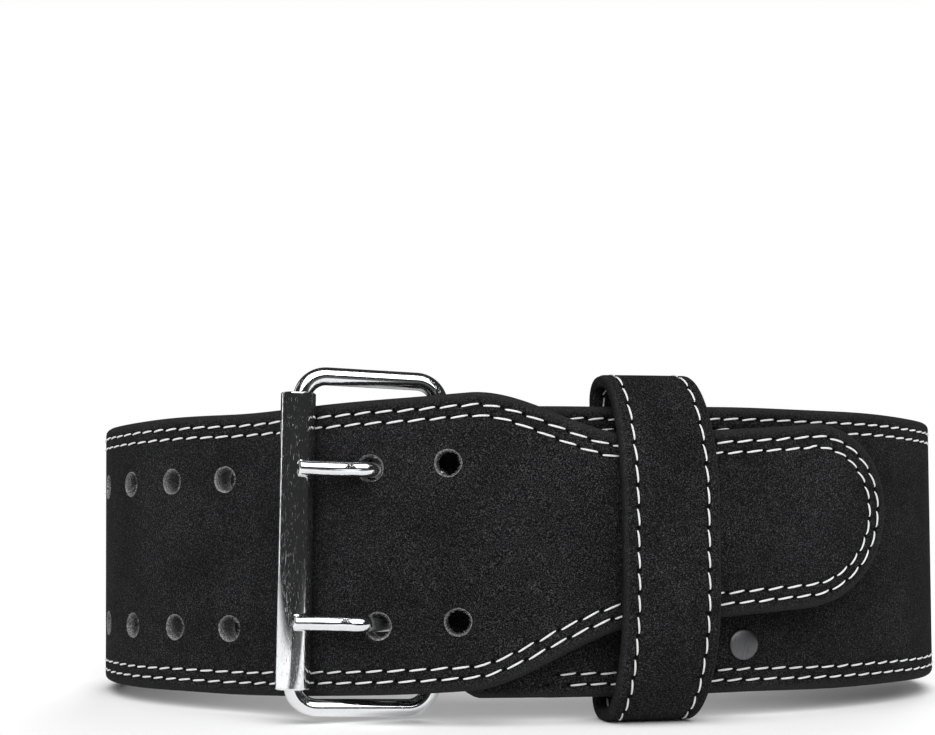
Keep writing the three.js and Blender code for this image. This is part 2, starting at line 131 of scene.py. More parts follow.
def turn(name, degrees, description):
    """An angle that a user can change."""
    return FloatProperty(
        name=name, description=description, default=math.radians(degrees), unit="ROTATION", subtype="ANGLE"
    )


def colour(name, default, description):
    """A linear colour that a user can change."""
    return FloatVectorProperty(
        name=name, description=description, default=(*default, 1.0), size=4, min=0.0, max=1.0, subtype="COLOR"
    )


class StrapSizes(bpy.types.PropertyGroup):
    """Strap, tongue, holes and fold"""

    oval_half_length: length("Oval half length", 0.170, "Half of the oval's width, to the strap's outer face")
    oval_front_depth: length("Oval front depth", 0.097, "Depth of the oval's front half")
    oval_back_depth: length("Oval back depth", 0.099, "Depth of the oval's back half")
    width: length("Strap width", 0.1016, "Height of the strap")
    thickness: length("Strap thickness", 0.010, "Thickness of the strap")
    edge_radius: length("Edge radius", 0.0025, "Rounding of the strap's edges")
    tongue_tip_at: length("Tongue tip", 0.134, "Place of the tongue's tip, from the front centre")
    tongue_width: length("Tongue width", 0.065, "Width of the narrow tongue")
    shoulder_start_at: length("Shoulder start", -0.016, "Place where the strap begins to narrow")
    shoulder_length: length("Shoulder length", 0.058, "Length over which the strap narrows")
    tongue_rise: length("Tongue rise", 0.0148, "Height that the tongue gains by its tip")
    rise_start_at: length("Rise start", -0.110, "Place where the tongue begins to rise")
    rise_exponent: number("Rise exponent", 1.5, "How late the tongue rises")
    tongue_gap: length("Tongue gap", 0.0021, "Room between the strap and the tongue over it")
    climb_start_at: length("Climb start", -0.105, "Place where the strap begins to climb over itself")
    climb_length: length("Climb length", 0.067, "Length of that climb")
    hole_diameter: length("Hole diameter", 0.0088, "Diameter of the punched holes")
    hole_row_spacing: length("Hole row spacing", 0.054, "Distance between the two rows of holes")
    first_hole_at: length("First holes", -0.0211, "Place of the hole pair nearest to the tongue's tip")
    prong_hole_at: length("Prong holes", -0.0476, "Place of the hole pair that the prongs are in")
    roller_hole_at: length("Roller holes", -0.078, "Place of the hole pair under the roller")
    side_hole_at: length("Side holes", -0.1083, "Place of the first hole pair beside the roller")
    side_hole_pitch: length("Side hole pitch", 0.0257, "Distance between the hole pairs from there on")
    side_hole_pairs: IntProperty(name="Side hole pairs", description="Number of those pairs", default=9)
    side_hole_lean: turn("Side hole lean", 2, "How far the first of them leans; the last one stands straight")
    skived_thickness: length("Skived thickness", 0.004, "Thickness of the leather at the fold and the flap")
    skive_length: length("Skive length", 0.016, "Length over which the leather gets thinner")
    fold_width: length("Fold width", 0.088, "Width of the fold round the hinge bar")
    fold_shoulder: length("Fold shoulder", 0.012, "Length over which the fold narrows")
    fold_straight: length("Fold straight", 0.005, "Plain length next to the hinge bar")
    flap_width: length("Flap width", 0.096, "Width of the flap on the inside")
    flap_corner: length("Flap corner", 0.008, "Corner radius at the flap's end")
    flap_end_margin: length("Flap end margin", 0.013, "Length of the flap past its last rivets")
    flap_settle_length: length("Flap settle length", 0.014, "Length over which the flap settles on the strap")


class StitchSizes(bpy.types.PropertyGroup):
    """White seams"""

    outer_inset: length("Outer row inset", 0.0046, "Distance of the outer row from the strap's edge")
    inner_inset: length("Inner row inset", 0.0083, "Distance of the inner row from the strap's edge")
    pitch: length("Stitch pitch", 0.0071, "Distance from stitch to stitch")
    share: number("Stitch share", 0.77, "Visible share of the pitch")
    thread: length("Thread diameter", 0.00070, "Thickness of the thread")
    groove_width: length("Groove width", 0.0018, "Width of the groove that a seam pulls into the leather")
    groove_depth: length("Groove depth", 0.0003, "Depth of that groove")
    dimple_depth: length("Dimple depth", 0.0008, "Extra depth where the thread goes down")
    slant: turn("Stitch slant", -6, "How far each stitch turns from the line of its row")


class BuckleSizes(bpy.types.PropertyGroup):
    """Frame, roller, prongs and rivets"""

    wire: length("Wire diameter", 0.0063, "Wire of the buckle's frame")
    inner_height: length("Inner height", 0.1086, "Height inside the frame")
    corner_radius: length("Corner radius", 0.0084, "Corner radius at the middle of the wire")
    hinge_at: length("Hinge bar", -0.030, "Place of the hinge bar, from the front centre")
    front_bar_at: length("Front bar", -0.0737, "Place of the front bar, from the front centre")
    lift: length("Lift", 0.0035, "Height of the buckle's middle over the strap's")
    lean: turn("Lean", 2, "Turn of the buckle in the plane of the strap")
    roller_diameter: length("Roller diameter", 0.012, "Outer diameter of the roller")
    roller_wall: length("Roller wall", 0.001, "Wall of the roller's tube")
    roller_length: length("Roller length", 0.102, "Length of the roller")
    roller_lean: turn("Roller lean", 0.7, "How far the roller hangs askew on its bar")
    prong_diameter: length("Prong diameter", 0.0054, "Wire of the prongs")
    prong_spacing: length("Prong spacing", 0.0526, "Distance between the two prongs")
    prong_overhang: length("Prong overhang", 0.001, "Length of the prongs past the front bar's middle")
    lean_fade: length("Lean fade", 0.040, "Length of leather that leans with the buckle")
    touch_gap: length("Touch gap", 0.0003, "Room between pieces that lie on each other")
    slide_gap: length("Slide gap", 0.0005, "Room between pieces that slide on each other")
    turn_gap: length("Turn gap", 0.0004, "Room round the prongs")
    rivet_cap: length("Rivet cap", 0.011, "Diameter of the rivets' caps")
    rivet_cap_height: length("Rivet cap height", 0.0015, "Height of the caps")
    rivet_shank: length("Rivet shank", 0.004, "Diameter of the rivets' shanks")
    near_rivet_at: length("Near rivets", 0.004, "Place of the rivets next to the buckle")
    far_rivet_at: length("Far rivets", 0.0805, "Place of the rivets at the flap's end")
    rivet_spacing: length("Rivet spacing", 0.067, "Distance between the rivets of a pair")


class KeeperSizes(bpy.types.PropertyGroup):
    """Keeper loop"""

    at: length("Keeper", 0.0491, "Place of the keeper, from the front centre")
    width: length("Keeper width", 0.031, "Width of the keeper along the strap")
    wall: length("Keeper wall", 0.0045, "Thickness of the keeper's leather")
    height: length("Keeper height", 0.121, "Outer height of the keeper")
    lift: length("Keeper lift", 0.0012, "Height of the keeper's middle over the strap's")
    lean: number("Keeper lean", 0.18, "Shift along the strap with depth")
    bulge: length("Keeper bulge", 0.0042, "Room between the tongue and the middle of the keeper")
    front_depth: length("Front depth", 0.024, "Depth of the keeper's round front corners")
    front_height: length("Front height", 0.047, "Height of the keeper's round front corners")
    back_radius: length("Back radius", 0.008, "Outer corner radius at the back")
    edge_radius: length("Edge radius", 0.0013, "Rounding of the keeper's edges")
    stitch_inset: length("Stitch inset", 0.0042, "Distance of the stitches from the keeper's edges")
    bulge_margin: length("Bulge margin", 0.0015, "Flap length pushed in on each side of the keeper")
    bulge_ramp: length("Bulge ramp", 0.015, "Length over which the flap comes back")


class PatchSizes(bpy.types.PropertyGroup):
    """Back patch"""

    width: length("Patch width", 0.129, "Length of the patch along the strap")
    height: length("Patch height", 0.076, "Height of the patch")
    thickness: length("Patch thickness", 0.002, "Thickness of the patch")
    rim: length("Rim width", 0.0033, "Width of the raised rim")
    groove: length("Groove width", 0.0026, "Width of the sewn groove inside the rim")
    recess: length("Groove depth", 0.0006, "Depth of the groove")
    panel_drop: length("Panel drop", 0.00015, "Depth of the panel under the rim")
    corner: length("Corner radius", 0.0018, "Corner radius of the patch")
    lift: length("Patch lift", 0.0009, "Height of the patch's middle over the strap's")
    thread: length("Patch thread", 0.0012, "Thickness of the patch's thread")
    inlay: length("Inlay height", 0.00025, "Height of the coloured inlays over the panel")


class BeltColours(bpy.types.PropertyGroup):
    """Colours"""

    suede: colour("Suede", (0.0022, 0.0022, 0.0024), "Nap in its shade")
    suede_light: colour("Suede light", (0.088, 0.088, 0.092), "Tips of the nap")
    # Lighter edge tone: worn edges, partly a painted rim highlight
    edge: colour("Worn edge", (0.028, 0.028, 0.028), "Rubbed edges")
    cut: colour("Cut leather", (0.85, 0.84, 0.83), "Fibres in the holes")
    thread: colour("Thread", (0.82, 0.82, 0.81), "White thread")
    dark_thread: colour("Dark thread", (0.030, 0.030, 0.031), "Thread of the patch")
    chrome: colour("Chrome", (0.80, 0.81, 0.82), "Plating of the buckle")
    rivet: colour("Rivet", (0.13, 0.13, 0.135), "Dark plating of the rivets")
    rubber: colour("Rubber", (0.044, 0.044, 0.045), "Panel of the patch")
    rim: colour("Rubber rim", (0.003, 0.003, 0.0032), "Groove of the patch, and its rim in part")
    inlay_red: colour("Red inlay", (0.92, 0.085, 0.065), "Red inlays")
    inlay_white: colour("White inlay", (0.85, 0.85, 0.85), "White inlays")
    floor: colour("Floor", (0.90, 0.90, 0.90), "Plain floor")


class StageSettings(bpy.types.PropertyGroup):
    """Camera, lights and floor"""

    distance: length("Camera distance", 0.564, "From the camera to the oval's centre")
    focal_pixels: number("Focal length", 1346.0, "In pixels of the photograph")
    centre_x: number("Centre column", 518.0, "Pixel column of the oval's centre")
    centre_y: number("Centre line", 551.5, "Pixel line of the oval's centre")
    shift_limit: number("Most shift", 0.15, "Most lens shift, in image widths")
    floor_size: length("Floor size", 12.0, "Width of the floor")
    top_power: number("Top light", 30.0, "Power of the top light", "POWER")
    left_power: number("Left light", 0.9, "Power of the left light", "POWER")
    back_power: number("Back light", 31.0, "Power of the back light", "POWER")
    sky: number("Room light", 0.27, "Brightness of the soft light from all round")
    room: number("Mirrored room", 0.03, "Brightness of the room in the metal")
    backdrop: number("Backdrop", 1.0, "Brightness of the backdrop")
    # Share of the painted dark reflection on the floor in front
    flag: number("Flag", 0.94, "How much of the mirrored floor the flag in front hides")
    cove_start: length("Cove start", 0.19, "Distance from the belt at which the floor begins to fade")
    cove_end: length("Cove end", 0.62, "Distance from the belt at which only the backdrop is left")


GROUPS = {
    "belt_strap_sizes": StrapSizes,
    "belt_stitch_sizes": StitchSizes,
    "belt_buckle_sizes": BuckleSizes,
    "belt_keeper_sizes": KeeperSizes,
    "belt_patch_sizes": PatchSizes,
    "belt_colours": BeltColours,
    "belt_stage": StageSettings,
}


def settings(name):
    """The settings group of that name in the open scene."""
    return getattr(bpy.context.scene, name)


# Shape of the belt


def ease(value):
    """Smooth step from 0 to 1."""
    t = np.clip(value, 0.0, 1.0)
    return t * t * (3.0 - 2.0 * t)


def lerp(a, b, share):
    return a + (b - a) * share


def stitch_phases(count):
    """Places along a seam in stitches, closer together where the needle went through either row."""
    steps = np.arange(count)[:, None] + np.array(STITCH_PLACES)
    return np.append(steps.ravel(), float(count))


def dimples(phases, row):
    """How deep the leather is pulled at each phase: 1 where the thread of that row goes down."""
    offset = np.asarray(phases) + 0.5 * row
    away = np.abs(offset - np.round(offset))
    return np.clip(1.0 - away / DIMPLE_REACH, 0.0, 1.0)


class Belt:
    """The belt's plan, levels and outline, from the sizes in the scene."""

    def __init__(self):
        self.strap = settings("belt_strap_sizes")
        self.stitch = settings("belt_stitch_sizes")
        self.buckle = settings("belt_buckle_sizes")
        self.keeper = settings("belt_keeper_sizes")
        s, b, k = self.strap, self.buckle, self.keeper
        self.turns = np.linspace(0.0, 1.0, OVAL_STEPS + 1)
        points = self.plan(self.turns)[0]
        steps = np.linalg.norm(np.diff(points, axis=0), axis=1)
        self.walked = np.concatenate([[0.0], np.cumsum(steps)])
        self.length = self.walked[-1]
        self.tongue_level = s.thickness + s.tongue_gap
        self.hinge_depth = b.wire / 2 + b.slide_gap + s.skived_thickness
        self.keeper_front = self.tongue_level + b.touch_gap + k.wall + k.bulge
        self.keeper_back = -s.thickness - b.touch_gap - k.wall
        self.flap_level = -s.thickness - b.touch_gap - s.skived_thickness / 2
        self.stance = self.find_stance()

    def plan(self, turns):
        """Points and unit tangents of the oval, from the back centre past the left end and the front."""
        s = self.strap
        angle = math.pi / 2 + 2 * math.pi * turns
        cos, sin = np.cos(angle), np.sin(angle)
        depth = np.where(sin < 0, s.oval_front_depth, s.oval_back_depth)
        points = np.stack([s.oval_half_length * cos, depth * sin], axis=-1)
        tangents = np.stack([-s.oval_half_length * sin, depth * cos], axis=-1)
        return points, tangents / np.linalg.norm(tangents, axis=-1, keepdims=True)

    def place(self, along, outward, height):
        """Belt points: along from the front centre, outward from the single layer's face, and height."""
        given = (np.asarray(values, float) for values in (along, outward, height))
        along, outward, height = np.broadcast_arrays(*given)
        walked = np.mod(0.5 + along / self.length, 1.0) * self.length
        points, tangents = self.plan(np.interp(walked, self.walked, self.turns))
        x = points[..., 0] + tangents[..., 1] * outward
        y = points[..., 1] - tangents[..., 0] * outward
        return np.stack([x, y, height], axis=-1)

    def find_stance(self):
        """Turn and shift from the belt's own frame to the way it stands, from the edge that it rests on."""
        rest = frame["record"]["mounts"][0]
        down = Vector((0, 0, -1))
        rotation = down.rotation_difference(Vector(rest["axis"])).to_matrix()
        along, outward = REST_SPOT
        edge = self.place(self.length / 2 + along, outward, -self.strap.width / 2)
        shift = Vector(rest["pos_m"]) - rotation @ Vector(edge)
        return Matrix.Translation(shift) @ rotation.to_4x4()

    def outer_level(self, along):
        """Level of the strap's outer face, which climbs over its own fold."""
        return self.tongue_level * ease((along - self.strap.climb_start_at) / self.strap.climb_length)

    def centre_rise(self, along):
        """Height of the strap's centre line, which rises towards the tip."""
        s = self.strap
        share = np.clip((along - s.rise_start_at) / (s.tongue_tip_at - s.rise_start_at), 0.0, 1.0)
        return s.tongue_rise * share**s.rise_exponent

    def half_width(self, along):
        """Half width of the strap before the round tip."""
        s = self.strap
        narrower = (s.width - s.tongue_width) / 2
        return s.width / 2 - narrower * ease((along - s.shoulder_start_at) / s.shoulder_length)

    def keeper_middle(self, level):
        """Place of the keeper's middle along the belt at a level."""
        return self.keeper.at - self.keeper.lean * (self.keeper_front - level)

    def flap_middle(self, along):
        """Level of the flap's middle, pushed in where the keeper passes behind it."""
        k = self.keeper
        past = np.abs(along - self.keeper_middle(self.keeper_back)) - k.width / 2 - k.bulge_margin
        return self.flap_level - (k.wall + self.buckle.touch_gap) * ease(1 - past / k.bulge_ramp)

    def buckle_axes(self):
        """Matrix of the buckle's own frame: x to the hinge bar, y to the waist, z up; and its length."""
        b = self.buckle
        near = 0.001
        climb = self.outer_level(b.front_bar_at + near) - self.outer_level(b.front_bar_at - near)
        slope = climb / (2 * near)
        lift = (b.roller_diameter / 2 + b.touch_gap) * math.hypot(1, slope) + b.touch_gap
        hinge = Vector(self.place(b.hinge_at, -self.hinge_depth, b.lift))
        front = Vector(self.place(b.front_bar_at, self.outer_level(b.front_bar_at) + lift, b.lift))
        way = (hinge - front).normalized()
        inward = Vector((0, 0, 1)).cross(way)
        axes = Matrix((way, inward, (0, 0, 1))).transposed().to_4x4()
        spot = Matrix.Translation((hinge + front) / 2) @ axes @ Matrix.Rotation(b.lean, 4, "Y")
        return spot, (hinge - front).length, way

    def in_buckle(self, along, level):
        """Plan place of a belt point in the buckle's own frame: x and outward."""
        spot, _, way = self.buckle_axes()
        offset = Vector(self.place(along, level, self.buckle.lift)) - spot.translation
        return np.array([offset.dot(way), -offset.dot(Vector((0, 0, 1)).cross(way))])


# Mesh tools


def moved(points, matrix):
    """Points moved by a matrix."""
    matrix = np.array(matrix)
    return np.asarray(points, float) @ matrix[:3, :3].T + matrix[:3, 3]


def make_piece(name, points, faces, material, slot, belt, smooth_angle=50.0):
    """A mesh piece from points in the belt's own frame, standing as the belt stands and riding with it."""
    mesh = bpy.data.meshes.new(name)
    world = moved(np.reshape(points, (-1, 3)), belt.stance)
    mesh.from_pydata(world.tolist(), [], [tuple(int(i) for i in face) for face in faces])
    mesh.materials.append(material)
    piece = bpy.data.objects.new(name, mesh)
    bpy.context.collection.objects.link(piece)
    close_mesh(mesh)
    shade(mesh, smooth_angle)
    if slot:
        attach(piece, "root")
    return piece


def close_mesh(mesh):
    """Merges doubled points and turns every face outwards."""
    bm = bmesh.new()
    bm.from_mesh(mesh)
    bmesh.ops.remove_doubles(bm, verts=bm.verts, dist=1e-7)
    bmesh.ops.dissolve_degenerate(bm, edges=bm.edges, dist=1e-8)
    bmesh.ops.recalc_face_normals(bm, faces=bm.faces)
    bm.to_mesh(mesh)
    bm.free()


def shade(mesh, angle):
    """Smooth shading with sharp edges above an angle in degrees."""
    mesh.shade_smooth()
    mesh.set_sharp_from_angle(angle=math.radians(angle))


def grid_faces(index, closed_rows=False, closed_columns=False):
    """Quads between neighbouring rows and columns of an index grid."""
    rows = np.vstack([index, index[:1]]) if closed_rows else index
    grid = np.hstack([rows, rows[:, :1]]) if closed_columns else rows
    quads = np.stack([grid[:-1, :-1], grid[1:, :-1], grid[1:, 1:], grid[:-1, 1:]], axis=-1).reshape(-1, 4)
    return [tuple(dict.fromkeys(quad)) for quad in quads.tolist() if len(set(quad)) > 2]


def rod_faces(index):
    """Faces of a rod from its rings of indices, with a flat face at both ends."""
    ends = [tuple(index[0].tolist()), tuple(index[-1, ::-1].tolist())]
    return grid_faces(index, closed_columns=True) + ends


def tube(path, radius, sides, side_way, end_bevel=0.0):
    """A round tube along a path, with a fixed direction square to it, and its faces."""
    path = np.asarray(path, float)
    way = np.gradient(path, axis=0)
    way /= np.linalg.norm(way, axis=1, keepdims=True)
    side_way = np.asarray(side_way, float)
    other = np.cross(side_way, way)
    other /= np.linalg.norm(other, axis=1, keepdims=True)
    radii = np.full(len(path), radius)
    if end_bevel:
        first, last = path[0] + way[0] * end_bevel, path[-1] - way[-1] * end_bevel
        path = np.vstack([path[0], first, path[1:-1], last, path[-1]])
        other = np.vstack([other[0], other, other[-1]])
        radii = np.concatenate([[radius - end_bevel], np.full(len(path) - 2, radius), [radius - end_bevel]])
    angles = np.linspace(0, 2 * np.pi, sides, endpoint=False)
    ring = np.cos(angles)[None, :, None] * side_way + np.sin(angles)[None, :, None] * other[:, None]
    points = path[:, None] + ring * radii[:, None, None]
    index = np.arange(points.shape[0] * sides).reshape(-1, sides)
    return points.reshape(-1, 3), rod_faces(index)


def joined(parts):
    """One set of points and faces from several."""
    points, faces, start = [], [], 0
    for part_points, part_faces in parts:
        points.append(part_points)
        faces += [tuple(i + start for i in face) for face in part_faces]
        start += len(part_points)
    return np.vstack(points), faces


def rounded_loop(half_x, half_z, corners, pitch, places=(0.0,)):
    """Points of a rounded rectangle, their outward ways and phases, a whole number of pitches round.

    Corners are (reach in x, reach in z), in the order +x+z, -x+z, -x-z, +x-z."""
    dense, ways = [], []
    signs = [(1, 1), (-1, 1), (-1, -1), (1, -1)]
    for quarter, (sign, reach) in enumerate(zip(signs, corners)):
        angles = np.linspace(quarter, quarter + 1, 61) * math.pi / 2
        circle = np.stack([np.cos(angles), np.sin(angles)], axis=1)
        centre = np.array(sign) * (np.array([half_x, half_z]) - np.array(reach))
        dense.append(centre + circle * np.array(reach))
        ways.append(circle / np.array(reach))
    dense, ways = np.vstack([*dense, dense[0][:1]]), np.vstack([*ways, ways[0][:1]])
    ways /= np.linalg.norm(ways, axis=1, keepdims=True)
    walked = np.concatenate([[0], np.cumsum(np.linalg.norm(np.diff(dense, axis=0), axis=1))])
    count = max(8, round(walked[-1] / pitch))
    phases = (np.arange(count)[:, None] + np.array(places)).ravel()
    at = phases * walked[-1] / count
    spread = lambda values: np.stack([np.interp(at, walked, values[:, i]) for i in range(2)], axis=1)
    out = spread(ways)
    return spread(dense), out / np.linalg.norm(out, axis=1, keepdims=True), phases


def cut(piece, points, faces, belt):
    """Cuts closed shapes, given in the belt's own frame, out of a piece."""
    cutter = make_piece("cutter", points, faces, piece.data.materials[0], None, belt)
    modifier = piece.modifiers.new("cut", "BOOLEAN")
    modifier.operation = "DIFFERENCE"
    modifier.solver = "MANIFOLD"
    modifier.object = cutter
    depsgraph = bpy.context.evaluated_depsgraph_get()
    result = bpy.data.meshes.new_from_object(piece.evaluated_get(depsgraph))
    if len(result.vertices) <= len(piece.data.vertices) // 2:
        raise RuntimeError(f"cutting {piece.name} went wrong")
    piece.modifiers.clear()
    old, name = piece.data, piece.data.name
    piece.data = result
    bpy.data.meshes.remove(old)
    piece.data.name = name
    bpy.data.meshes.remove(cutter.data)


# Materials


def node(tree, kind, at=(0, 0), **values):
    """A shader node with its properties set."""
    made = tree.nodes.new(kind)
    made.location = at
    for key, value in values.items():
        setattr(made, key, value)
    return made


def set_inputs(made, **values):
    """Sets a node's sockets by name, with underscores for spaces."""
    for key, value in values.items():
        made.inputs[key.replace("_", " ")].default_value = value
    return made


def make_group(name, inputs, outputs):
    """An empty shader node group with named sockets."""
    tree = bpy.data.node_groups.new(name, "ShaderNodeTree")
    for label, kind, default in inputs:
        socket = tree.interface.new_socket(name=label, in_out="INPUT", socket_type=kind)
        socket.default_value = default
    for label, kind in outputs:
        tree.interface.new_socket(name=label, in_out="OUTPUT", socket_type=kind)
    return tree, node(tree, "NodeGroupInput", (-900, 0)), node(tree, "NodeGroupOutput", (700, 0))


def grain_group():
    """Fine grain, soft clouds and a height, from noise at three scales."""
    if "fine_grain" in bpy.data.node_groups:
        return bpy.data.node_groups["fine_grain"]
    tree, given, out = make_group(
        "fine_grain",
        [("Grain Size", "NodeSocketFloat", 0.0006), ("Cloud Size", "NodeSocketFloat", 0.02)],
        [("Grain", "NodeSocketFloat"), ("Cloud", "NodeSocketFloat"), ("Height", "NodeSocketFloat")],
    )
    place = node(tree, "ShaderNodeTexCoord", (-900, 300))
    for label, size, row in (("Grain", "Grain Size", 200), ("Cloud", "Cloud Size", -200)):
        scale = node(tree, "ShaderNodeMath", (-600, row), operation="DIVIDE")
        scale.inputs[0].default_value = 1.0
        noise = node(tree, "ShaderNodeTexNoise", (-350, row))
        set_inputs(noise, Detail=3.0, Roughness=0.65)
        spread = node(tree, "ShaderNodeMapRange", (-100, row))
        set_inputs(spread, From_Min=0.32, From_Max=0.68)
        tree.links.new(given.outputs[size], scale.inputs[1])
        tree.links.new(scale.outputs[0], noise.inputs["Scale"])
        tree.links.new(place.outputs["Object"], noise.inputs["Vector"])
        tree.links.new(noise.outputs["Fac"], spread.inputs["Value"])
        tree.links.new(spread.outputs["Result"], out.inputs[label])
        if label == "Grain":
            tree.links.new(noise.outputs["Fac"], out.inputs["Height"])
    return tree


def scratch_group():
    """Fine scratches in one direction and smudges, as masks."""
    if "scratches" in bpy.data.node_groups:
        return bpy.data.node_groups["scratches"]
    tree, given, out = make_group(
        "scratches",
        [("Size", "NodeSocketFloat", 0.0008)],
        [("Scratches", "NodeSocketFloat"), ("Smudges", "NodeSocketFloat")],
    )
    place = node(tree, "ShaderNodeTexCoord", (-900, 300))
    scale = node(tree, "ShaderNodeMath", (-600, 0), operation="DIVIDE")
    scale.inputs[0].default_value = 1.0
    stretch = node(tree, "ShaderNodeMapping", (-600, 300))
    stretch.inputs["Scale"].default_value = (1.0, 1.0, 0.08)
    fine = set_inputs(node(tree, "ShaderNodeTexNoise", (-350, 300)), Detail=2.0)
    soft = set_inputs(node(tree, "ShaderNodeTexNoise", (-350, -100)), Scale=90.0, Detail=4.0)
    lines = set_inputs(node(tree, "ShaderNodeMapRange", (-100, 300)), From_Min=0.58, From_Max=0.74)
    tree.links.new(given.outputs["Size"], scale.inputs[1])
    tree.links.new(place.outputs["Object"], stretch.inputs["Vector"])
    tree.links.new(stretch.outputs["Vector"], fine.inputs["Vector"])
    tree.links.new(scale.outputs[0], fine.inputs["Scale"])
    tree.links.new(place.outputs["Object"], soft.inputs["Vector"])
    tree.links.new(fine.outputs["Fac"], lines.inputs["Value"])
    tree.links.new(lines.outputs["Result"], out.inputs["Scratches"])
    tree.links.new(soft.outputs["Fac"], out.inputs["Smudges"])
    return tree


def new_material(name):
    """A material with its tree and its Principled shader, or None for both if it is there already."""
    if name in bpy.data.materials:
        return bpy.data.materials[name], None, None
    material = bpy.data.materials.new(name)
    material.use_nodes = True
    tree = material.node_tree
    return material, tree, tree.nodes["Principled BSDF"]


def place_group(tree, group, at, **values):
    """A node group placed in a material, with its inputs set."""
    made = node(tree, "ShaderNodeGroup", at, node_tree=group)
    return set_inputs(made, **values)


def mix_colours(tree, factor, first, second, at):
    """A colour mix; each colour is a value or a socket."""
    mix = node(tree, "ShaderNodeMix", at, data_type="RGBA")
    tree.links.new(factor, mix.inputs["Factor"])
    for socket, value in ((mix.inputs[6], first), (mix.inputs[7], second)):
        if isinstance(value, bpy.types.NodeSocket):
            tree.links.new(value, socket)
        else:
            socket.default_value = value
    return mix.outputs[2]


def spread_value(tree, value, low, high, at):
    """A 0 to 1 value moved to a range."""
    spread = node(tree, "ShaderNodeMapRange", at)
    set_inputs(spread, To_Min=low, To_Max=high)
    tree.links.new(value, spread.inputs["Value"])
    return spread.outputs["Result"]


def power_value(tree, value, power, at):
    """A value to a power, which leaves fewer bright tips."""
    raised = node(tree, "ShaderNodeMath", at, operation="POWER")
    raised.inputs[1].default_value = power
    tree.links.new(value, raised.inputs[0])
    return raised.outputs[0]


def darker(tone, share):
    """A colour brought down to a share of its brightness."""
    return [c * share for c in tone[:3]] + [1.0]


def bump(tree, shader, height, distance, strength=1.0):
    """Feeds a height into a shader's normal."""
    made = set_inputs(node(tree, "ShaderNodeBump", (-300, -400)), Distance=distance, Strength=strength)
    tree.links.new(height, made.inputs["Height"])
    tree.links.new(made.outputs["Normal"], shader.inputs["Normal"])


def suede_material():
    """Black suede: a short nap in two tones, soft clouds, edges rubbed lighter with a painted rim highlight,
    and painted shade in the stitch pits.
    """
    material, tree, shader = new_material("black_suede")
    if tree is None:
        return material
    colours = settings("belt_colours")
    grain = place_group(tree, grain_group(), (-900, 100), Grain_Size=0.00044, Cloud_Size=0.03)
    # Lighter edges are worn edges with a painted rim highlight; negative values paint shade into the stitch
    # pits
    wear_and_painted_shading = node(tree, "ShaderNodeAttribute", (-900, -200), attribute_name="wear_and_painted_shading")
    edge_wear_highlight_mask = node(tree, "ShaderNodeMath", (-600, -200), operation="MULTIPLY", use_clamp=True)
    painted_pit_shade = node(tree, "ShaderNodeMath", (-600, -350), operation="MULTIPLY", use_clamp=True)
    painted_pit_shade.inputs[1].default_value = -0.95
    tree.links.new(wear_and_painted_shading.outputs["Fac"], edge_wear_highlight_mask.inputs[0])
    tree.links.new(wear_and_painted_shading.outputs["Fac"], painted_pit_shade.inputs[0])
    tree.links.new(spread_value(tree, grain.outputs["Grain"], 0.25, 1.0, (-750, -350)), edge_wear_highlight_mask.inputs[1])
    tips = power_value(tree, grain.outputs["Grain"], 3.2, (-600, 150))
    nap = mix_colours(tree, tips, colours.suede, colours.suede_light, (-400, 200))
    clouds = spread_value(tree, grain.outputs["Cloud"], 0.45, 0.0, (-600, 350))
    clouded = mix_colours(tree, clouds, nap, darker(colours.suede, 0.72), (-200, 200))
    edge_wear_highlighted = mix_colours(tree, edge_wear_highlight_mask.outputs[0], clouded, colours.edge, (0, 200))
    # Near black painted shade in the stitch pits
    pit_shade_black = (0.0008, 0.0008, 0.0008, 1.0)
    pit_shaded = mix_colours(tree, painted_pit_shade.outputs[0], edge_wear_highlighted, pit_shade_black, (150, 200))
    tree.links.new(pit_shaded, shader.inputs["Base Color"])
    rough = spread_value(tree, grain.outputs["Grain"], 0.82, 0.98, (-300, -100))
    tree.links.new(rough, shader.inputs["Roughness"])
    bump(tree, shader, grain.outputs["Height"], 0.0005, 0.9)
    set_inputs(shader, Specular_IOR_Level=0.06)
    return material


def cut_material():
    """Punched leather: loose grey fibres, painted darker deeper in the hole as painted shade."""
    material, tree, shader = new_material("cut_leather")
    if tree is None:
        return material
    colours = settings("belt_colours")
    grain = place_group(tree, grain_group(), (-900, 100), Grain_Size=0.0005, Cloud_Size=0.0014)
    tips = power_value(tree, grain.outputs["Grain"], 1.6, (-600, 150))
    fibres = mix_colours(tree, tips, colours.suede_light, colours.cut, (-400, 200))
    patchy = spread_value(tree, grain.outputs["Cloud"], 0.45, 0.0, (-600, 350))
    mottled = mix_colours(tree, patchy, fibres, colours.suede, (-200, 200))
    # Painted shade: the wall darkens towards the suede tone deeper in the hole
    light = node(tree, "ShaderNodeAttribute", (-200, 0), attribute_name="cut_painted_light")
    with_painted_shade = mix_colours(tree, light.outputs["Fac"], colours.suede, mottled, (0, 200))
    tree.links.new(with_painted_shade, shader.inputs["Base Color"])
    bump(tree, shader, grain.outputs["Height"], 0.0008)
    set_inputs(shader, Roughness=0.95, Specular_IOR_Level=0.2)
    return material


def thread_material(name, tone):
    """Twisted sewing thread."""
    material, tree, shader = new_material(name)
    if tree is None:
        return material
    grain = place_group(tree, grain_group(), (-900, 100), Grain_Size=0.0005, Cloud_Size=0.01)
    twisted = mix_colours(tree, grain.outputs["Grain"], darker(tone, 0.72), tone, (-300, 200))
    tree.links.new(twisted, shader.inputs["Base Color"])
    bump(tree, shader, grain.outputs["Height"], 0.0003)
    set_inputs(shader, Roughness=0.62, Sheen_Weight=0.2, Specular_IOR_Level=0.4)
    return material


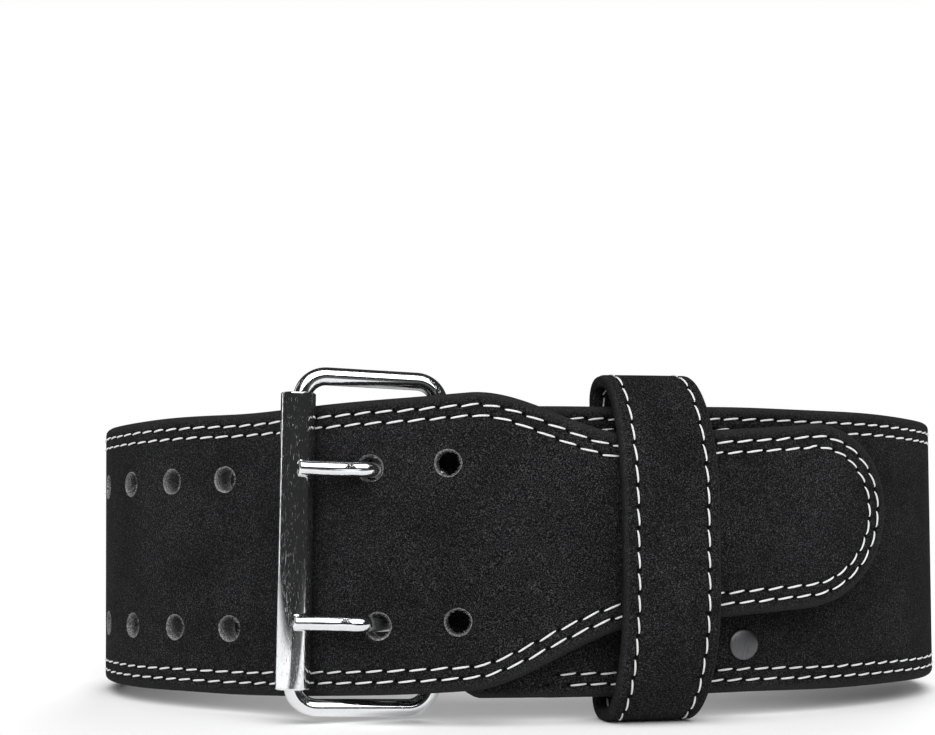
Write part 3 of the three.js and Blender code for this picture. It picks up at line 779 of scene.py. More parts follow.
def metal_material(name, tone, low, high, scratch_size):
    """Plated metal with smudges and fine scratches; low and high are the limits of its roughness."""
    material, tree, shader = new_material(name)
    if tree is None:
        return material
    marks = place_group(tree, scratch_group(), (-900, 100), Size=scratch_size)
    scratched = mix_colours(tree, marks.outputs["Scratches"], tone, darker(tone, 0.82), (-300, 200))
    tree.links.new(scratched, shader.inputs["Base Color"])
    smudged = spread_value(tree, marks.outputs["Smudges"], low, high, (-500, 0))
    scraped = node(tree, "ShaderNodeMath", (-300, 0), operation="MULTIPLY_ADD", use_clamp=True)
    scraped.inputs[1].default_value = 0.30
    tree.links.new(marks.outputs["Scratches"], scraped.inputs[0])
    tree.links.new(smudged, scraped.inputs[2])
    tree.links.new(scraped.outputs[0], shader.inputs["Roughness"])
    bump(tree, shader, marks.outputs["Scratches"], 0.00004, 0.35)
    set_inputs(shader, Metallic=1.0)
    return material


def rubber_material(name, tone, roughness, rim_tone=None):
    """Moulded rubber with a fine matt skin, and another tone where the piece's rim attribute is 1."""
    material, tree, shader = new_material(name)
    if tree is None:
        return material
    grain = place_group(tree, grain_group(), (-900, 100), Grain_Size=0.0005, Cloud_Size=0.015)
    mixed = mix_colours(tree, grain.outputs["Cloud"], darker(tone, 0.8), tone, (-300, 200))
    if rim_tone:
        rim = node(tree, "ShaderNodeAttribute", (-300, 400), attribute_name="rim")
        mixed = mix_colours(tree, rim.outputs["Fac"], mixed, rim_tone, (-100, 200))
    tree.links.new(mixed, shader.inputs["Base Color"])
    rough = spread_value(tree, grain.outputs["Grain"], roughness - 0.08, roughness + 0.1, (-500, 0))
    tree.links.new(rough, shader.inputs["Roughness"])
    bump(tree, shader, grain.outputs["Height"], 0.0001, 0.5)
    set_inputs(shader, Specular_IOR_Level=0.22)
    return material


# Strap


class StrapMesh:
    """Stations of the strap from the tongue's tip round the waist to the flap, and the points on them."""

    FACE_COLUMNS = 4
    ARC_COLUMNS = 5

    def __init__(self, belt):
        self.belt = belt
        s, b = belt.strap, belt.buckle
        self.tip_centre = s.tongue_tip_at - s.tongue_width / 2
        hinge_unrolled = b.hinge_at - belt.length
        stations = []

        def add(along, level, thickness, half, lean, seam):
            stations.append((along, level, thickness, half, lean, seam))

        seam_length = self.tip_centre - (hinge_unrolled + b.lean_fade)
        self.stitch_count = round(seam_length / belt.stitch.pitch)
        seam_phases = stitch_phases(self.stitch_count)
        for along in self.tip_centre - seam_length * seam_phases / self.stitch_count:
            level = belt.outer_level(along) - s.thickness / 2
            add(along, level, s.thickness, belt.half_width(along), 0.0, 1.0)
        self.seam_end = len(seam_phases) - 1
        for ahead in np.linspace(b.lean_fade, 0.0, 25)[1:]:
            skive = ease(1 - (ahead - s.fold_straight) / s.skive_length)
            thickness = lerp(s.thickness, s.skived_thickness, skive)
            half = lerp(s.width / 2, s.fold_width / 2, ease(1 - (ahead - s.fold_straight) / s.fold_shoulder))
            add(hinge_unrolled + ahead, -thickness / 2, thickness, half, ease(1 - ahead / b.lean_fade), 0.0)
        radius = b.wire / 2 + b.slide_gap + s.skived_thickness / 2
        for angle in np.linspace(math.pi / 2, 3 * math.pi / 2, 19)[1:]:
            along = hinge_unrolled + radius * math.cos(angle)
            level = radius * math.sin(angle) - belt.hinge_depth
            add(along, level, s.skived_thickness, s.fold_width / 2, 1.0, 0.0)
        folded = -belt.hinge_depth - radius
        flap_end = b.far_rivet_at + s.flap_end_margin
        straight = np.linspace(b.hinge_at, flap_end - s.flap_corner, 61)[1:]
        flap = [(at, s.flap_width / 2) for at in straight]
        for angle in np.linspace(0, math.pi / 2, 9)[1:]:
            at = flap_end - s.flap_corner * (1 - math.sin(angle))
            flap.append((at, s.flap_width / 2 - s.flap_corner * (1 - math.cos(angle))))
        for at, half in flap:
            level = lerp(folded, belt.flap_middle(at), ease((at - b.hinge_at) / s.flap_settle_length))
            wide = lerp(s.fold_width / 2, half, ease((at - b.hinge_at - s.fold_straight) / s.fold_shoulder))
            lean = ease(1 - (at - b.hinge_at) / b.lean_fade)
            add(at - belt.length, level, s.skived_thickness, wide, lean, 0.0)
        table = np.array(stations)
        self.along, self.level, self.thickness, self.half, self.lean, self.seam = table.T
        self.rise = belt.centre_rise(self.along)
        way = np.stack([np.gradient(self.along), np.gradient(self.level)], axis=1)
        self.way = way / np.linalg.norm(way, axis=1, keepdims=True)
        tip_stitches = round(math.pi * (s.tongue_width / 2 - belt.stitch.outer_inset) / belt.stitch.pitch)
        tip_phases = stitch_phases(tip_stitches)
        self.ray_angles = math.pi * (tip_phases / tip_stitches - 0.5)
        self.rays = len(tip_phases) - 1
        before, after = tip_phases[1:] + self.stitch_count, seam_phases[1:] + self.stitch_count + tip_stitches
        self.phases = np.concatenate([seam_phases, before, after])
        near = 0.0005
        steep = lambda side: (
            belt.centre_rise(self.along + near)
            - belt.centre_rise(self.along - near)
            + side * (belt.half_width(self.along + near) - belt.half_width(self.along - near))
        ) / (2 * near)
        self.stretch = {side: np.hypot(1.0, np.where(self.seam > 0, steep(side), 0.0)) for side in (1, -1)}

    def wave(self, along, side):
        """Slight unevenness of a real edge."""
        return 0.00018 * np.sin(along * 41.0 + side) + 0.00012 * np.sin(along * 97.0 + 2.0 * side)

    def station_points(self, side, inset, across, share=0.0):
        """Points on all stations at an inset from the upper or lower outline, moved a share of the way from
        there to the middle; across is from the middle of the leather outwards."""
        belt = self.belt
        along = self.along + self.way[:, 1] * across
        level = self.level - self.way[:, 0] * across
        edge = self.half - inset * self.stretch[side] + self.wave(self.along, side) * self.seam
        points = belt.place(along, level, self.rise + side * edge * (1 - share))
        _, _, way = belt.buckle_axes()
        lean = self.lean * math.tan(belt.buckle.lean) * (points[:, 2] - belt.buckle.lift)
        return points + lean[:, None] * np.array(way)

    def ray_points(self, inset, across):
        """Points on the rays of the round tip, from its lower side to its upper side."""
        s = self.belt.strap
        reach = s.tongue_width / 2 - inset
        along = self.tip_centre + reach * np.cos(self.ray_angles)
        height = self.belt.centre_rise(along) + reach * np.sin(self.ray_angles)
        level = self.belt.tongue_level - s.thickness / 2 + across
        return self.belt.place(along, level, height)

    def columns(self):
        """Columns of half a section, from the middle of the outer face round the edge to the inner middle.

        Each is (share of the way to the middle, inset, side of the leather, arc angle or None, seam row or
        None, depth)."""
        st = self.belt.stitch
        margin = st.inner_inset + st.groove_width * 1.3
        half_groove = st.groove_width / 2
        face = [(share, margin, None, None, 0.0) for share in np.linspace(1, 0, self.FACE_COLUMNS + 1)]
        for row, inset in ((1, st.inner_inset), (0, st.outer_inset)):
            for place, depth in ((1.0, 0.0), (0.5, 0.6), (0.0, 1.0), (-0.5, 0.6), (-1.0, 0.0)):
                face.append((0.0, inset + place * half_groove, None, row, depth))
        arc = [(0.0, 0.0, angle, None, 0.0) for angle in np.linspace(math.pi / 2, 0, self.ARC_COLUMNS)]
        outer = [(share, inset, 1, *rest) for share, inset, *rest in face + arc]
        inner = [(share, inset, -1, *rest) for share, inset, _, *rest in reversed(outer)]
        return outer + inner

    def build(self):
        """Points, faces and edge wear of the whole strap; the wear values also hold a painted rim highlight
        and painted shade in the stitch pits.
        """
        columns = self.columns()
        s = self.belt.strap
        count = len(self.along)
        last = len(columns) - 1
        st = self.belt.stitch
        upper, lower, rays, wear_and_painted_shading = [], [], [], []
        for share, inset, face, angle, row, depth in columns:
            if angle is None:
                station_inset = tip_inset = inset
                across, tip_across = self.thickness / 2, s.thickness / 2
            else:
                radius = np.minimum(s.edge_radius, 0.45 * self.thickness)
                station_inset, tip_inset = (r * (1 - math.cos(angle)) for r in (radius, s.edge_radius))
                across = self.thickness / 2 - radius * (1 - math.sin(angle))
                tip_across = s.thickness / 2 - s.edge_radius * (1 - math.sin(angle))
            tip_inset = lerp(tip_inset, s.tongue_width / 2, share)
            low, high = np.zeros(count), np.zeros(count)
            middle = 0.0
            # Edge tone: worn edges, partly a painted rim highlight
            edge_wear_and_highlight = 0.0 if angle is None else 0.4 + 0.6 * math.sin(2 * angle)
            marks = np.full((3, max(count, self.rays + 1)), edge_wear_and_highlight)
            if row is not None:
                pulled = dimples(self.phases, row)
                run = (st.groove_depth + st.dimple_depth * pulled) * depth
                # Painted shade in the stitch pits, as negative values
                painted_pit_shade = -pulled * min(1.0, PIT_SHADE_SPREAD * depth)
                seam, start = self.seam_end + 1, self.seam_end + self.rays
                low[:seam], middle, high[:seam] = run[:seam][::-1], run[seam - 1 : start + 1], run[start:]
                marks[0, :seam], marks[1, :seam] = painted_pit_shade[start:], painted_pit_shade[:seam][::-1]
                marks[2, : self.rays + 1] = painted_pit_shade[seam - 1 : start + 1]
            upper.append(self.station_points(1, station_inset, face * (across - high), share))
            lower.append(self.station_points(-1, station_inset, face * (across - low), share))
            rays.append(self.ray_points(tip_inset, face * (tip_across - middle)))
            wear_and_painted_shading.append(np.concatenate([marks[0, :count], marks[1, :count], marks[2, : self.rays + 1]]))
        upper, lower, rays = (np.stack(part, axis=1) for part in (upper, lower, rays))
        width = last + 1
        start_lower = count * width
        start_rays = 2 * count * width
        index_upper = np.arange(count * width).reshape(count, width)
        index_lower = start_lower + index_upper
        index_rays = start_rays + np.arange((self.rays + 1) * width).reshape(-1, width)
        index_lower[:, 0], index_lower[:, -1] = index_upper[:, 0], index_upper[:, -1]
        index_rays[0], index_rays[-1] = index_lower[0], index_upper[0]
        index_rays[:, 0], index_rays[:, -1] = index_upper[0, 0], index_upper[0, -1]
        faces = grid_faces(index_upper) + grid_faces(index_lower) + grid_faces(index_rays)
        for side in (index_upper, index_lower):
            end = side[-1]
            faces += [(end[c], end[c + 1], end[last - c - 1], end[last - c]) for c in range(width // 2 - 1)]
        points = np.vstack([upper.reshape(-1, 3), lower.reshape(-1, 3), rays.reshape(-1, 3)])
        used = sorted({int(i) for face in faces for i in face})
        renumber = {old: new for new, old in enumerate(used)}
        faces = [tuple(renumber[int(i)] for i in face) for face in faces]
        return points[used], faces, np.stack(wear_and_painted_shading, axis=1).ravel()[used]

    def seam_path(self, inset, face):
        """A seam row's points and outward ways along its whole run, on one face."""
        half = self.belt.strap.thickness / 2
        runs = []
        for across in (face * half, face * (half + PROBE)):
            low = self.station_points(-1, inset, across)[: self.seam_end + 1][::-1]
            high = self.station_points(1, inset, across)[: self.seam_end + 1]
            rays = self.ray_points(inset, across)
            runs.append(np.vstack([low, rays[1:-1], high]))
        return runs[0], (runs[1] - runs[0]) / PROBE


def hole_places(belt):
    """Places of the punched holes: along, height and level of the outer face."""
    s = belt.strap
    near = 0.0005
    pairs = []
    for at in (s.first_hole_at, s.prong_hole_at, s.roller_hole_at):
        rise = float(belt.centre_rise(at + near) - belt.centre_rise(at - near))
        pairs.append((at, math.atan(rise / (2 * near))))
    for pair in range(s.side_hole_pairs):
        share = pair / (s.side_hole_pairs - 1)
        pairs.append((s.side_hole_at - pair * s.side_hole_pitch, lerp(s.side_hole_lean, 0.0, share)))
    for at, lean in pairs:
        for side in (-1, 1):
            reach = side * s.hole_row_spacing / 2
            height = float(belt.centre_rise(at)) + reach * math.cos(lean)
            yield at - reach * math.sin(lean), height, float(belt.outer_level(at))


def hole_cutter(belt, along, height, outer, phase):
    """A punched hole's shape, flared a little at both faces."""
    s = belt.strap
    radius = s.hole_diameter / 2
    inner = outer - s.thickness
    rings = [(outer + over, radius + wide) for over, wide in HOLE_FLARE]
    rings += [(inner - over, radius + wide) for over, wide in reversed(HOLE_FLARE)]
    angles = np.linspace(0, 2 * np.pi, 40, endpoint=False)
    wobble = 1 + 0.012 * np.sin(3 * angles + phase) + 0.01 * np.sin(5 * angles + 2 * phase)
    foot, tip = belt.place(along, inner, height), belt.place(along, outer, height)
    out = (tip - foot) / np.linalg.norm(tip - foot)
    side = np.cross(UP, out)
    points = []
    for level, wide in rings:
        centre = tip + out * (level - outer)
        x, z = wide * (np.cos(angles) * wobble), wide * (np.sin(angles) * wobble)
        points.append(centre + x[:, None] * side + z[:, None] * UP)
    index = np.arange(len(rings) * len(angles)).reshape(len(rings), -1)
    return np.vstack(points), rod_faces(index)


def prong_levels(belt):
    """Heights of the two prongs in the buckle's own frame."""
    s, b = belt.strap, belt.buckle
    middle = float(belt.centre_rise(s.prong_hole_at)) - b.lift
    return middle + b.prong_spacing / 2, middle - b.prong_spacing / 2


def prong_path(belt, count=150):
    """Middle line of a prong in the buckle's own frame: curled round the hinge bar, up through its hole, flat
    onto the roller."""
    s, b = belt.strap, belt.buckle
    _, buckle_length, _ = belt.buckle_axes()
    hole_at = s.prong_hole_at
    radius = b.wire / 2 + b.touch_gap + b.prong_diameter / 2
    outer = float(belt.outer_level(hole_at))
    under = outer - s.thickness - b.turn_gap - b.prong_diameter / 2
    over = outer + b.prong_diameter / 2
    hinge = np.array([buckle_length / 2, 0.0])
    angles = np.radians(np.linspace(-150, 95, 19))
    curl = [hinge + radius * np.array([math.cos(angle), math.sin(angle)]) for angle in angles]
    rest = b.roller_diameter / 2 + b.touch_gap + b.prong_diameter / 2
    tip = np.array([-buckle_length / 2 - b.prong_overhang, rest])
    half_hole = s.hole_diameter / 2
    through = [
        belt.in_buckle(lerp(hole_at + half_hole, b.hinge_at, 0.35), under - 0.0001),
        belt.in_buckle(hole_at + half_hole, under + 0.0008),
        belt.in_buckle(hole_at + 0.45 * half_hole, lerp(under, over, 0.35)),
        belt.in_buckle(hole_at, lerp(under, over, 0.72)),
        belt.in_buckle(hole_at - 0.6 * half_hole, over + 0.0006),
    ]
    run = []
    for share in (0.3, 0.65):
        point = lerp(through[-1], tip, share)
        point[1] += (tip[1] - through[-1][1]) * 0.55 * math.sin(math.pi * share)
        run.append(point)
    flat = catmull_rom(np.array([*curl, *through, *run, tip]), 14)
    walked = np.concatenate([[0], np.cumsum(np.linalg.norm(np.diff(flat, axis=0), axis=1))])
    at = np.linspace(0, walked[-1], count)
    x, out = np.interp(at, walked, flat[:, 0]), np.interp(at, walked, flat[:, 1])
    return np.stack([x, -out, np.zeros(count)], axis=1)


def catmull_rom(points, steps):
    """Centripetal curve through the points."""
    points = np.vstack([2 * points[0] - points[1], points, 2 * points[-1] - points[-2]])
    made = []
    for p0, p1, p2, p3 in zip(points, points[1:], points[2:], points[3:]):
        t0 = 0.0
        t1 = t0 + np.linalg.norm(p1 - p0) ** 0.5
        t2 = t1 + np.linalg.norm(p2 - p1) ** 0.5
        t3 = t2 + np.linalg.norm(p3 - p2) ** 0.5
        t = np.linspace(t1, t2, steps, endpoint=False)[:, None]
        a1 = (t1 - t) / (t1 - t0) * p0 + (t - t0) / (t1 - t0) * p1
        a2 = (t2 - t) / (t2 - t1) * p1 + (t - t1) / (t2 - t1) * p2
        a3 = (t3 - t) / (t3 - t2) * p2 + (t - t2) / (t3 - t2) * p3
        b1 = (t2 - t) / (t2 - t0) * a1 + (t - t0) / (t2 - t0) * a2
        b2 = (t3 - t) / (t3 - t1) * a2 + (t - t1) / (t3 - t1) * a3
        made.append((t2 - t) / (t2 - t1) * b1 + (t - t1) / (t2 - t1) * b2)
    return np.vstack([*made, points[-2][None]])


def from_buckle(belt, points):
    """Points of the buckle's own frame in the belt's own frame."""
    return moved(points, belt.buckle_axes()[0])


def slot_cutter(belt, height):
    """The slot in the fold for one prong, kept clear of the tongue over it."""
    s, b = belt.strap, belt.buckle
    _, buckle_length, _ = belt.buckle_axes()
    radius = b.wire / 2 + b.touch_gap + b.prong_diameter + b.turn_gap
    half = b.prong_diameter / 2 + b.turn_gap + b.slide_gap
    angles = np.linspace(0, 2 * np.pi, 48, endpoint=False)
    x = buckle_length / 2 + radius * np.cos(angles)
    y = np.maximum(radius * np.sin(angles), -belt.hinge_depth - s.tongue_gap / 2)
    rings = [np.stack([x, y, np.full_like(x, height + z)], axis=1) for z in (-half, half)]
    index = np.arange(2 * len(angles)).reshape(2, -1)
    return from_buckle(belt, np.vstack(rings)), rod_faces(index)


def stitches(path, out, phases, starts, stitch, slant, rng):
    """Points and faces of stitches on a seam path: each dips into the leather at both ends."""
    rings, sides = 8, 6
    count = len(starts)
    ramp = np.linspace(0, 1, rings)
    share = stitch.share + rng.uniform(-0.03, 0.03, count)
    at = (starts + (1 - share) / 2)[:, None] + ramp * share[:, None]
    follow = lambda values: np.stack([np.interp(at, phases, values[:, i]) for i in range(3)], axis=-1)
    centre, normal = follow(path), follow(out)
    normal /= np.linalg.norm(normal, axis=-1, keepdims=True)
    way = np.gradient(centre, axis=1)
    way /= np.linalg.norm(way, axis=-1, keepdims=True)
    side = np.cross(way, normal)
    lean = slant + rng.uniform(-0.03, 0.03, count)
    reach = np.tan(lean)[:, None] * (ramp - 0.5) * stitch.pitch * stitch.share
    drift = rng.uniform(-0.00008, 0.00008, count)[:, None]
    arch = np.sin(np.pi * ramp) ** 0.45
    height = -0.55 * stitch.thread + 0.72 * stitch.thread * arch
    centre = centre + side * (reach + drift)[..., None] + normal * height[None, :, None]
    angles = np.linspace(0, 2 * np.pi, sides, endpoint=False)
    radius = stitch.thread / 2 * (0.62 + 0.38 * arch)
    ring = np.cos(angles)[:, None] * side[:, :, None] + 0.82 * np.sin(angles)[:, None] * normal[:, :, None]
    points = centre[:, :, None] + ring * radius[None, :, None, None]
    block = rings * sides
    unit = rod_faces(np.arange(block).reshape(rings, sides))
    faces = [tuple(i + k * block for i in face) for k in range(count) for face in unit]
    return points.reshape(-1, 3), faces


def give_values(mesh, belt, points, given, name="wear_and_painted_shading"):
    """Writes an attribute to a finished mesh: each of its points takes the value of the nearest given one."""
    world = moved(points, belt.stance)
    tree = KDTree(len(world))
    for i, point in enumerate(world):
        tree.insert(point, i)
    tree.balance()
    values = [given[tree.find(vertex.co)[1]] for vertex in mesh.vertices]
    attribute = mesh.attributes.new(name, "FLOAT", "POINT")
    attribute.data.foreach_set("value", values)


def mark_cut_walls(mesh, belt):
    """Gives the walls of the punched holes the cut leather's material, and their points a painted lightness:
    painted shade deeper in the hole.
    """
    stance = np.array(belt.stance)
    half = belt.strap.thickness / 2
    centres, normals = np.empty(len(mesh.polygons) * 3), np.empty(len(mesh.polygons) * 3)
    corners = np.empty(len(mesh.vertices) * 3)
    mesh.polygons.foreach_get("center", centres)
    mesh.polygons.foreach_get("normal", normals)
    mesh.vertices.foreach_get("co", corners)
    centres, normals, corners = (values.reshape(-1, 3) for values in (centres, normals, corners))
    picked, light = np.zeros(len(centres), int), np.zeros(len(corners))
    for along, height, outer in hole_places(belt):
        middle = moved(belt.place(along, outer - half, height), stance)
        out = belt.place(along, PROBE, height) - belt.place(along, 0.0, height)
        out = (out / np.linalg.norm(out)) @ stance[:3, :3].T

        def within(points, reach):
            depth = (points - middle) @ out
            radial = np.linalg.norm(points - middle - depth[:, None] * out, axis=1)
            return depth, (radial < belt.strap.hole_diameter / 2 + reach) & (np.abs(depth) < half * 1.2)

        wall = within(centres, 0.0006)[1] & (np.abs(normals @ out) < 0.8)
        picked[wall] = 1
        depth, near = within(corners, 0.0008)
        # Painted shade: lighter near the faces, dark deeper in the hole
        light[near] = np.clip(1.0 - (half - np.abs(depth[near])) / CUT_SHADE, 0.0, 1.0) ** 1.4
    mesh.polygons.foreach_set("material_index", picked)
    attribute = mesh.attributes.new("cut_painted_light", "FLOAT", "POINT")
    attribute.data.foreach_set("value", light)


def fuzz(belt, rng):
    """Short fibres that stand in and round the punched holes."""
    parts = []
    radius = belt.strap.hole_diameter / 2
    for along, height, outer in hole_places(belt):
        tip = belt.place(along, outer, height)
        out = tip - belt.place(along, outer - PROBE, height)
        out /= np.linalg.norm(out)
        side = np.cross(UP, out)
        for _ in range(FIBRES_PER_HOLE):
            angle = rng.uniform(0, 2 * np.pi)
            radial = math.cos(angle) * side + math.sin(angle) * UP
            around = np.cross(out, radial)
            deep = rng.uniform(-0.0009, 0.0001) if rng.random() < 0.65 else rng.uniform(-0.006, -0.001)
            root = tip + radial * (radius + (0.00035 if deep > -0.0004 else 0.00002)) + out * (deep - 0.0001)
            way = -radial * rng.uniform(0.1, 0.8) + around * rng.uniform(-1, 1)
            if deep > -0.0009:
                way = way + out * rng.uniform(0.1, 0.7)
            way = way / np.linalg.norm(way) * rng.uniform(*FIBRE_LENGTHS)
            bend = np.cross(way, radial) * rng.uniform(-0.5, 0.5)
            width = rng.uniform(*FIBRE_WIDTHS)
            ring = [around * width, radial * width, -around * width]
            middle = root + way * 0.55 + bend * 0.6
            points = [root + r for r in ring] + [middle + r * 0.7 for r in ring] + [root + way + bend]
            parts.append((np.array(points), FIBRE_FACES))
    return joined(parts)


# Operators


class BELT_OT_build_strap(bpy.types.Operator):
    """Build the leather strap with its holes, fold and flap"""

    bl_idname = "belt.build_strap"
    bl_label = "Strap"

    def execute(self, context):
        belt = Belt()
        points, faces, wear_and_painted_shading = StrapMesh(belt).build()
        piece = make_piece("strap", points, faces, suede_material(), "strap_suede", belt)
        piece.data.materials.append(cut_material())
        holes = [hole_cutter(belt, *place, phase) for phase, place in enumerate(hole_places(belt))]
        cut(piece, *joined(holes), belt)
        levels = prong_levels(belt)
        cut(piece, *joined([slot_cutter(belt, height) for height in levels]), belt)
        clear = belt.buckle.prong_diameter / 2 + belt.buckle.turn_gap
        ways = []
        for height in levels:
            way_points, way_faces = tube(prong_path(belt, 90), clear, 24, (0, 0, 1))
            ways.append((from_buckle(belt, way_points + np.array([0, 0, height])), way_faces))
        cut(piece, *joined(ways), belt)
        give_values(piece.data, belt, points, wear_and_painted_shading)
        mark_cut_walls(piece.data, belt)
        shade(piece.data, 42.0)
        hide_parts("belt_strap")
        fuzz_points, fuzz_faces = fuzz(belt, np.random.default_rng(SEED))
        fibres = make_piece("hole_fibres", fuzz_points, fuzz_faces, cut_material(), "strap_suede", belt)
        # The fibres take a fixed painted lightness
        light = fibres.data.attributes.new("cut_painted_light", "FLOAT", "POINT")
        light.data.foreach_set("value", np.full(len(fibres.data.vertices), FIBRE_PAINTED_LIGHT))
        return {"FINISHED"}


class BELT_OT_build_strap_stitches(bpy.types.Operator):
    """Sew the two rows of white stitches on both faces of the strap"""

    bl_idname = "belt.build_strap_stitches"
    bl_label = "Strap stitches"

    def execute(self, context):
        belt = Belt()
        mesh = StrapMesh(belt)
        st = belt.stitch
        rng = np.random.default_rng(SEED)
        thread = thread_material("white_thread", settings("belt_colours").thread)
        for name, face in (("stitches_outside", 1), ("stitches_inside", -1)):
            parts = []
            for row, inset in enumerate((st.outer_inset, st.inner_inset)):
                path, out = mesh.seam_path(inset, face)
                starts = np.arange(1, math.floor(mesh.phases[-1]) - 1) - 0.5 * row
                parts.append(stitches(path, out, mesh.phases, starts, st, face * st.slant, rng))
            make_piece(name, *joined(parts), thread, "strap_suede", belt)
        return {"FINISHED"}


class BELT_OT_build_keeper(bpy.types.Operator):
    """Build the keeper loop and its stitches"""

    bl_idname = "belt.build_keeper"
    bl_label = "Keeper"

    def execute(self, context):
        belt = Belt()
        k, st = belt.keeper, belt.stitch
        depth = belt.keeper_front - belt.keeper_back
        middle_level = (belt.keeper_front + belt.keeper_back) / 2
        front = (k.front_depth - k.wall / 2, k.front_height - k.wall / 2)
        back = (k.back_radius - k.wall / 2,) * 2
        corners = [front, back, back, front]
        half_depth, half_height = (depth - k.wall) / 2, (k.height - k.wall) / 2
        loop, out, phases = rounded_loop(half_depth, half_height, corners, st.pitch, STITCH_PLACES)
        half, wall, r = k.width / 2, k.wall / 2, k.edge_radius

        def section(deep):
            """Section of the leather: sideways and outward places, with grooves where the stitches run, and
            how strongly each point takes the painted pit shade.
            """
            row = half - k.stitch_inset
            g = st.groove_width / 2
            groove = [(-row - g, 0), (-row - g / 2, 0.6), (-row, 1), (-row + g / 2, 0.6), (-row + g, 0)]
            plain = [(x, 0) for x in np.linspace(-row + 0.003, row - 0.003, 7)]
            across = [*groove, *plain, *[(-x, d) for x, d in groove[::-1]]]
            face = [(x, wall - d * deep) for x, d in across]
            angles = np.linspace(math.pi / 2, 0, 5)
            arc = [(half - r + r * math.cos(angle), wall - r + r * math.sin(angle)) for angle in angles]
            right = arc + [(x, -y) for x, y in reversed(arc)]
            left = [(-x, y) for x, y in reversed(right)]
            back = [(x, -y) for x, y in reversed(face)]
            depths = [d for _, d in across]
            painted_pit_shade = [*depths, *[0.0] * len(right), *reversed(depths), *[0.0] * len(left)]
            return np.array(face + right + back + left), np.minimum(1.0, PIT_SHADE_SPREAD * np.array(painted_pit_shade))

        points, wear_and_painted_shading = [], []
        for (level, height), way, pulled in zip(loop, out, dimples(phases, 0)):
            ring, painted_pit_shade = section(st.groove_depth + st.dimple_depth * pulled)
            levels = middle_level + level + way[0] * ring[:, 1]
            heights = k.lift + height + way[1] * ring[:, 1]
            points.append(belt.place(belt.keeper_middle(levels) + ring[:, 0], levels, heights))
            # Lighter outer edges, worn and partly a painted rim highlight; painted shade in the stitch pits
            rim = (np.abs(ring[:, 0]) > half - r * 0.95) * (ring[:, 1] > 0)
            wear_and_painted_shading.append(rim * 0.6 - pulled * painted_pit_shade)
        index = np.arange(len(points) * len(points[0])).reshape(len(points), -1)
        faces = grid_faces(index, closed_rows=True, closed_columns=True)
        piece = make_piece("keeper", np.vstack(points), faces, suede_material(), "keeper_suede", belt)
        give_values(piece.data, belt, np.vstack(points), np.concatenate(wear_and_painted_shading))
        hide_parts("keeper_loop")
        rng = np.random.default_rng(SEED + 1)
        thread = thread_material("white_thread", settings("belt_colours").thread)
        parts = []
        for face in (1, -1):
            for side in (-1, 1):
                paths = []
                for lift in (0.0, PROBE):
                    off = face * (wall + lift)
                    level = middle_level + loop[:, 0] + out[:, 0] * off
                    height = k.lift + loop[:, 1] + out[:, 1] * off
                    along = belt.keeper_middle(level) + side * (half - k.stitch_inset)
                    line = belt.place(along, level, height)
                    paths.append(np.vstack([line, line[:1]]))
                ways = (paths[1] - paths[0]) / PROBE
                around = math.ceil(phases[-1])
                closed = np.append(phases, around)
                parts.append(stitches(paths[0], ways, closed, np.arange(around), st, face * st.slant, rng))
        make_piece("keeper_stitches", *joined(parts), thread, "keeper_suede", belt)
        return {"FINISHED"}


class BELT_OT_build_buckle(bpy.types.Operator):
    """Build the buckle's wire frame, its roller and its two prongs"""

    bl_idname = "belt.build_buckle"
    bl_label = "Buckle"

    def execute(self, context):
        belt = Belt()
        b = belt.buckle
        tone = settings("belt_colours").chrome
        chrome = metal_material("chrome_plating", tone, low=0.01, high=0.09, scratch_size=0.00022)
        _, buckle_length, _ = belt.buckle_axes()
        corners = [(b.corner_radius, b.corner_radius)] * 4
        loop, out, _ = rounded_loop(buckle_length / 2, (b.inner_height + b.wire) / 2, corners, 0.0009)
        angles = np.linspace(0, 2 * np.pi, 36, endpoint=False)
        across = b.wire / 2 * np.cos(angles)
        deep = b.wire / 2 * np.sin(angles)
        x = loop[:, :1] + out[:, :1] * across
        z = loop[:, 1:] + out[:, 1:] * across
        points = np.stack([x, np.broadcast_to(deep, x.shape), z], axis=-1).reshape(-1, 3)
        index = np.arange(x.size).reshape(x.shape)
        faces = grid_faces(index, closed_rows=True, closed_columns=True)
        piece = make_piece("frame_wire", from_buckle(belt, points), faces, chrome, "buckle_chrome", belt)
        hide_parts("buckle_frame")

        outer, inner, end = b.roller_diameter / 2, b.roller_diameter / 2 - b.roller_wall, b.roller_length / 2
        lip = 0.0003
        profile = [(inner, -end + lip), (inner + lip, -end), (outer - lip, -end), (outer, -end + lip)]
        wall_end = end - 2 * lip
        profile += [(outer, z) for z in np.linspace(-wall_end, wall_end, 24)]
        profile += [(radius, -z) for radius, z in reversed(profile[:4])]
        profile += [(inner, z) for z in np.linspace(wall_end, -wall_end, 24)]
        shift = b.roller_length / 2 * math.sin(b.roller_lean)
        spot = Matrix.Translation((-buckle_length / 2 - shift, 0, 0))
        angles = np.linspace(0, 2 * np.pi, 72, endpoint=False)
        rings = np.array([[(r * math.cos(a), r * math.sin(a), z) for a in angles] for r, z in profile])
        tilted = moved(rings.reshape(-1, 3), spot @ Matrix.Rotation(-b.roller_lean, 4, "Y"))
        index = np.arange(len(tilted)).reshape(len(profile), -1)
        faces = grid_faces(index, closed_rows=True, closed_columns=True)
        piece = make_piece("roller_tube", from_buckle(belt, tilted), faces, chrome, "buckle_chrome", belt)
        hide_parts("buckle_roller")

        names = (("prong_top", "prong_upper"), ("prong_bottom", "prong_lower"))
        for (name, node_name), height in zip(names, prong_levels(belt)):
            points, faces = tube(prong_path(belt), b.prong_diameter / 2, 36, (0, 0, 1), end_bevel=0.00035)
            points = from_buckle(belt, points + np.array([0, 0, height]))
            piece = make_piece(name, points, faces, chrome, "buckle_chrome", belt)
            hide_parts(node_name)
        return {"FINISHED"}


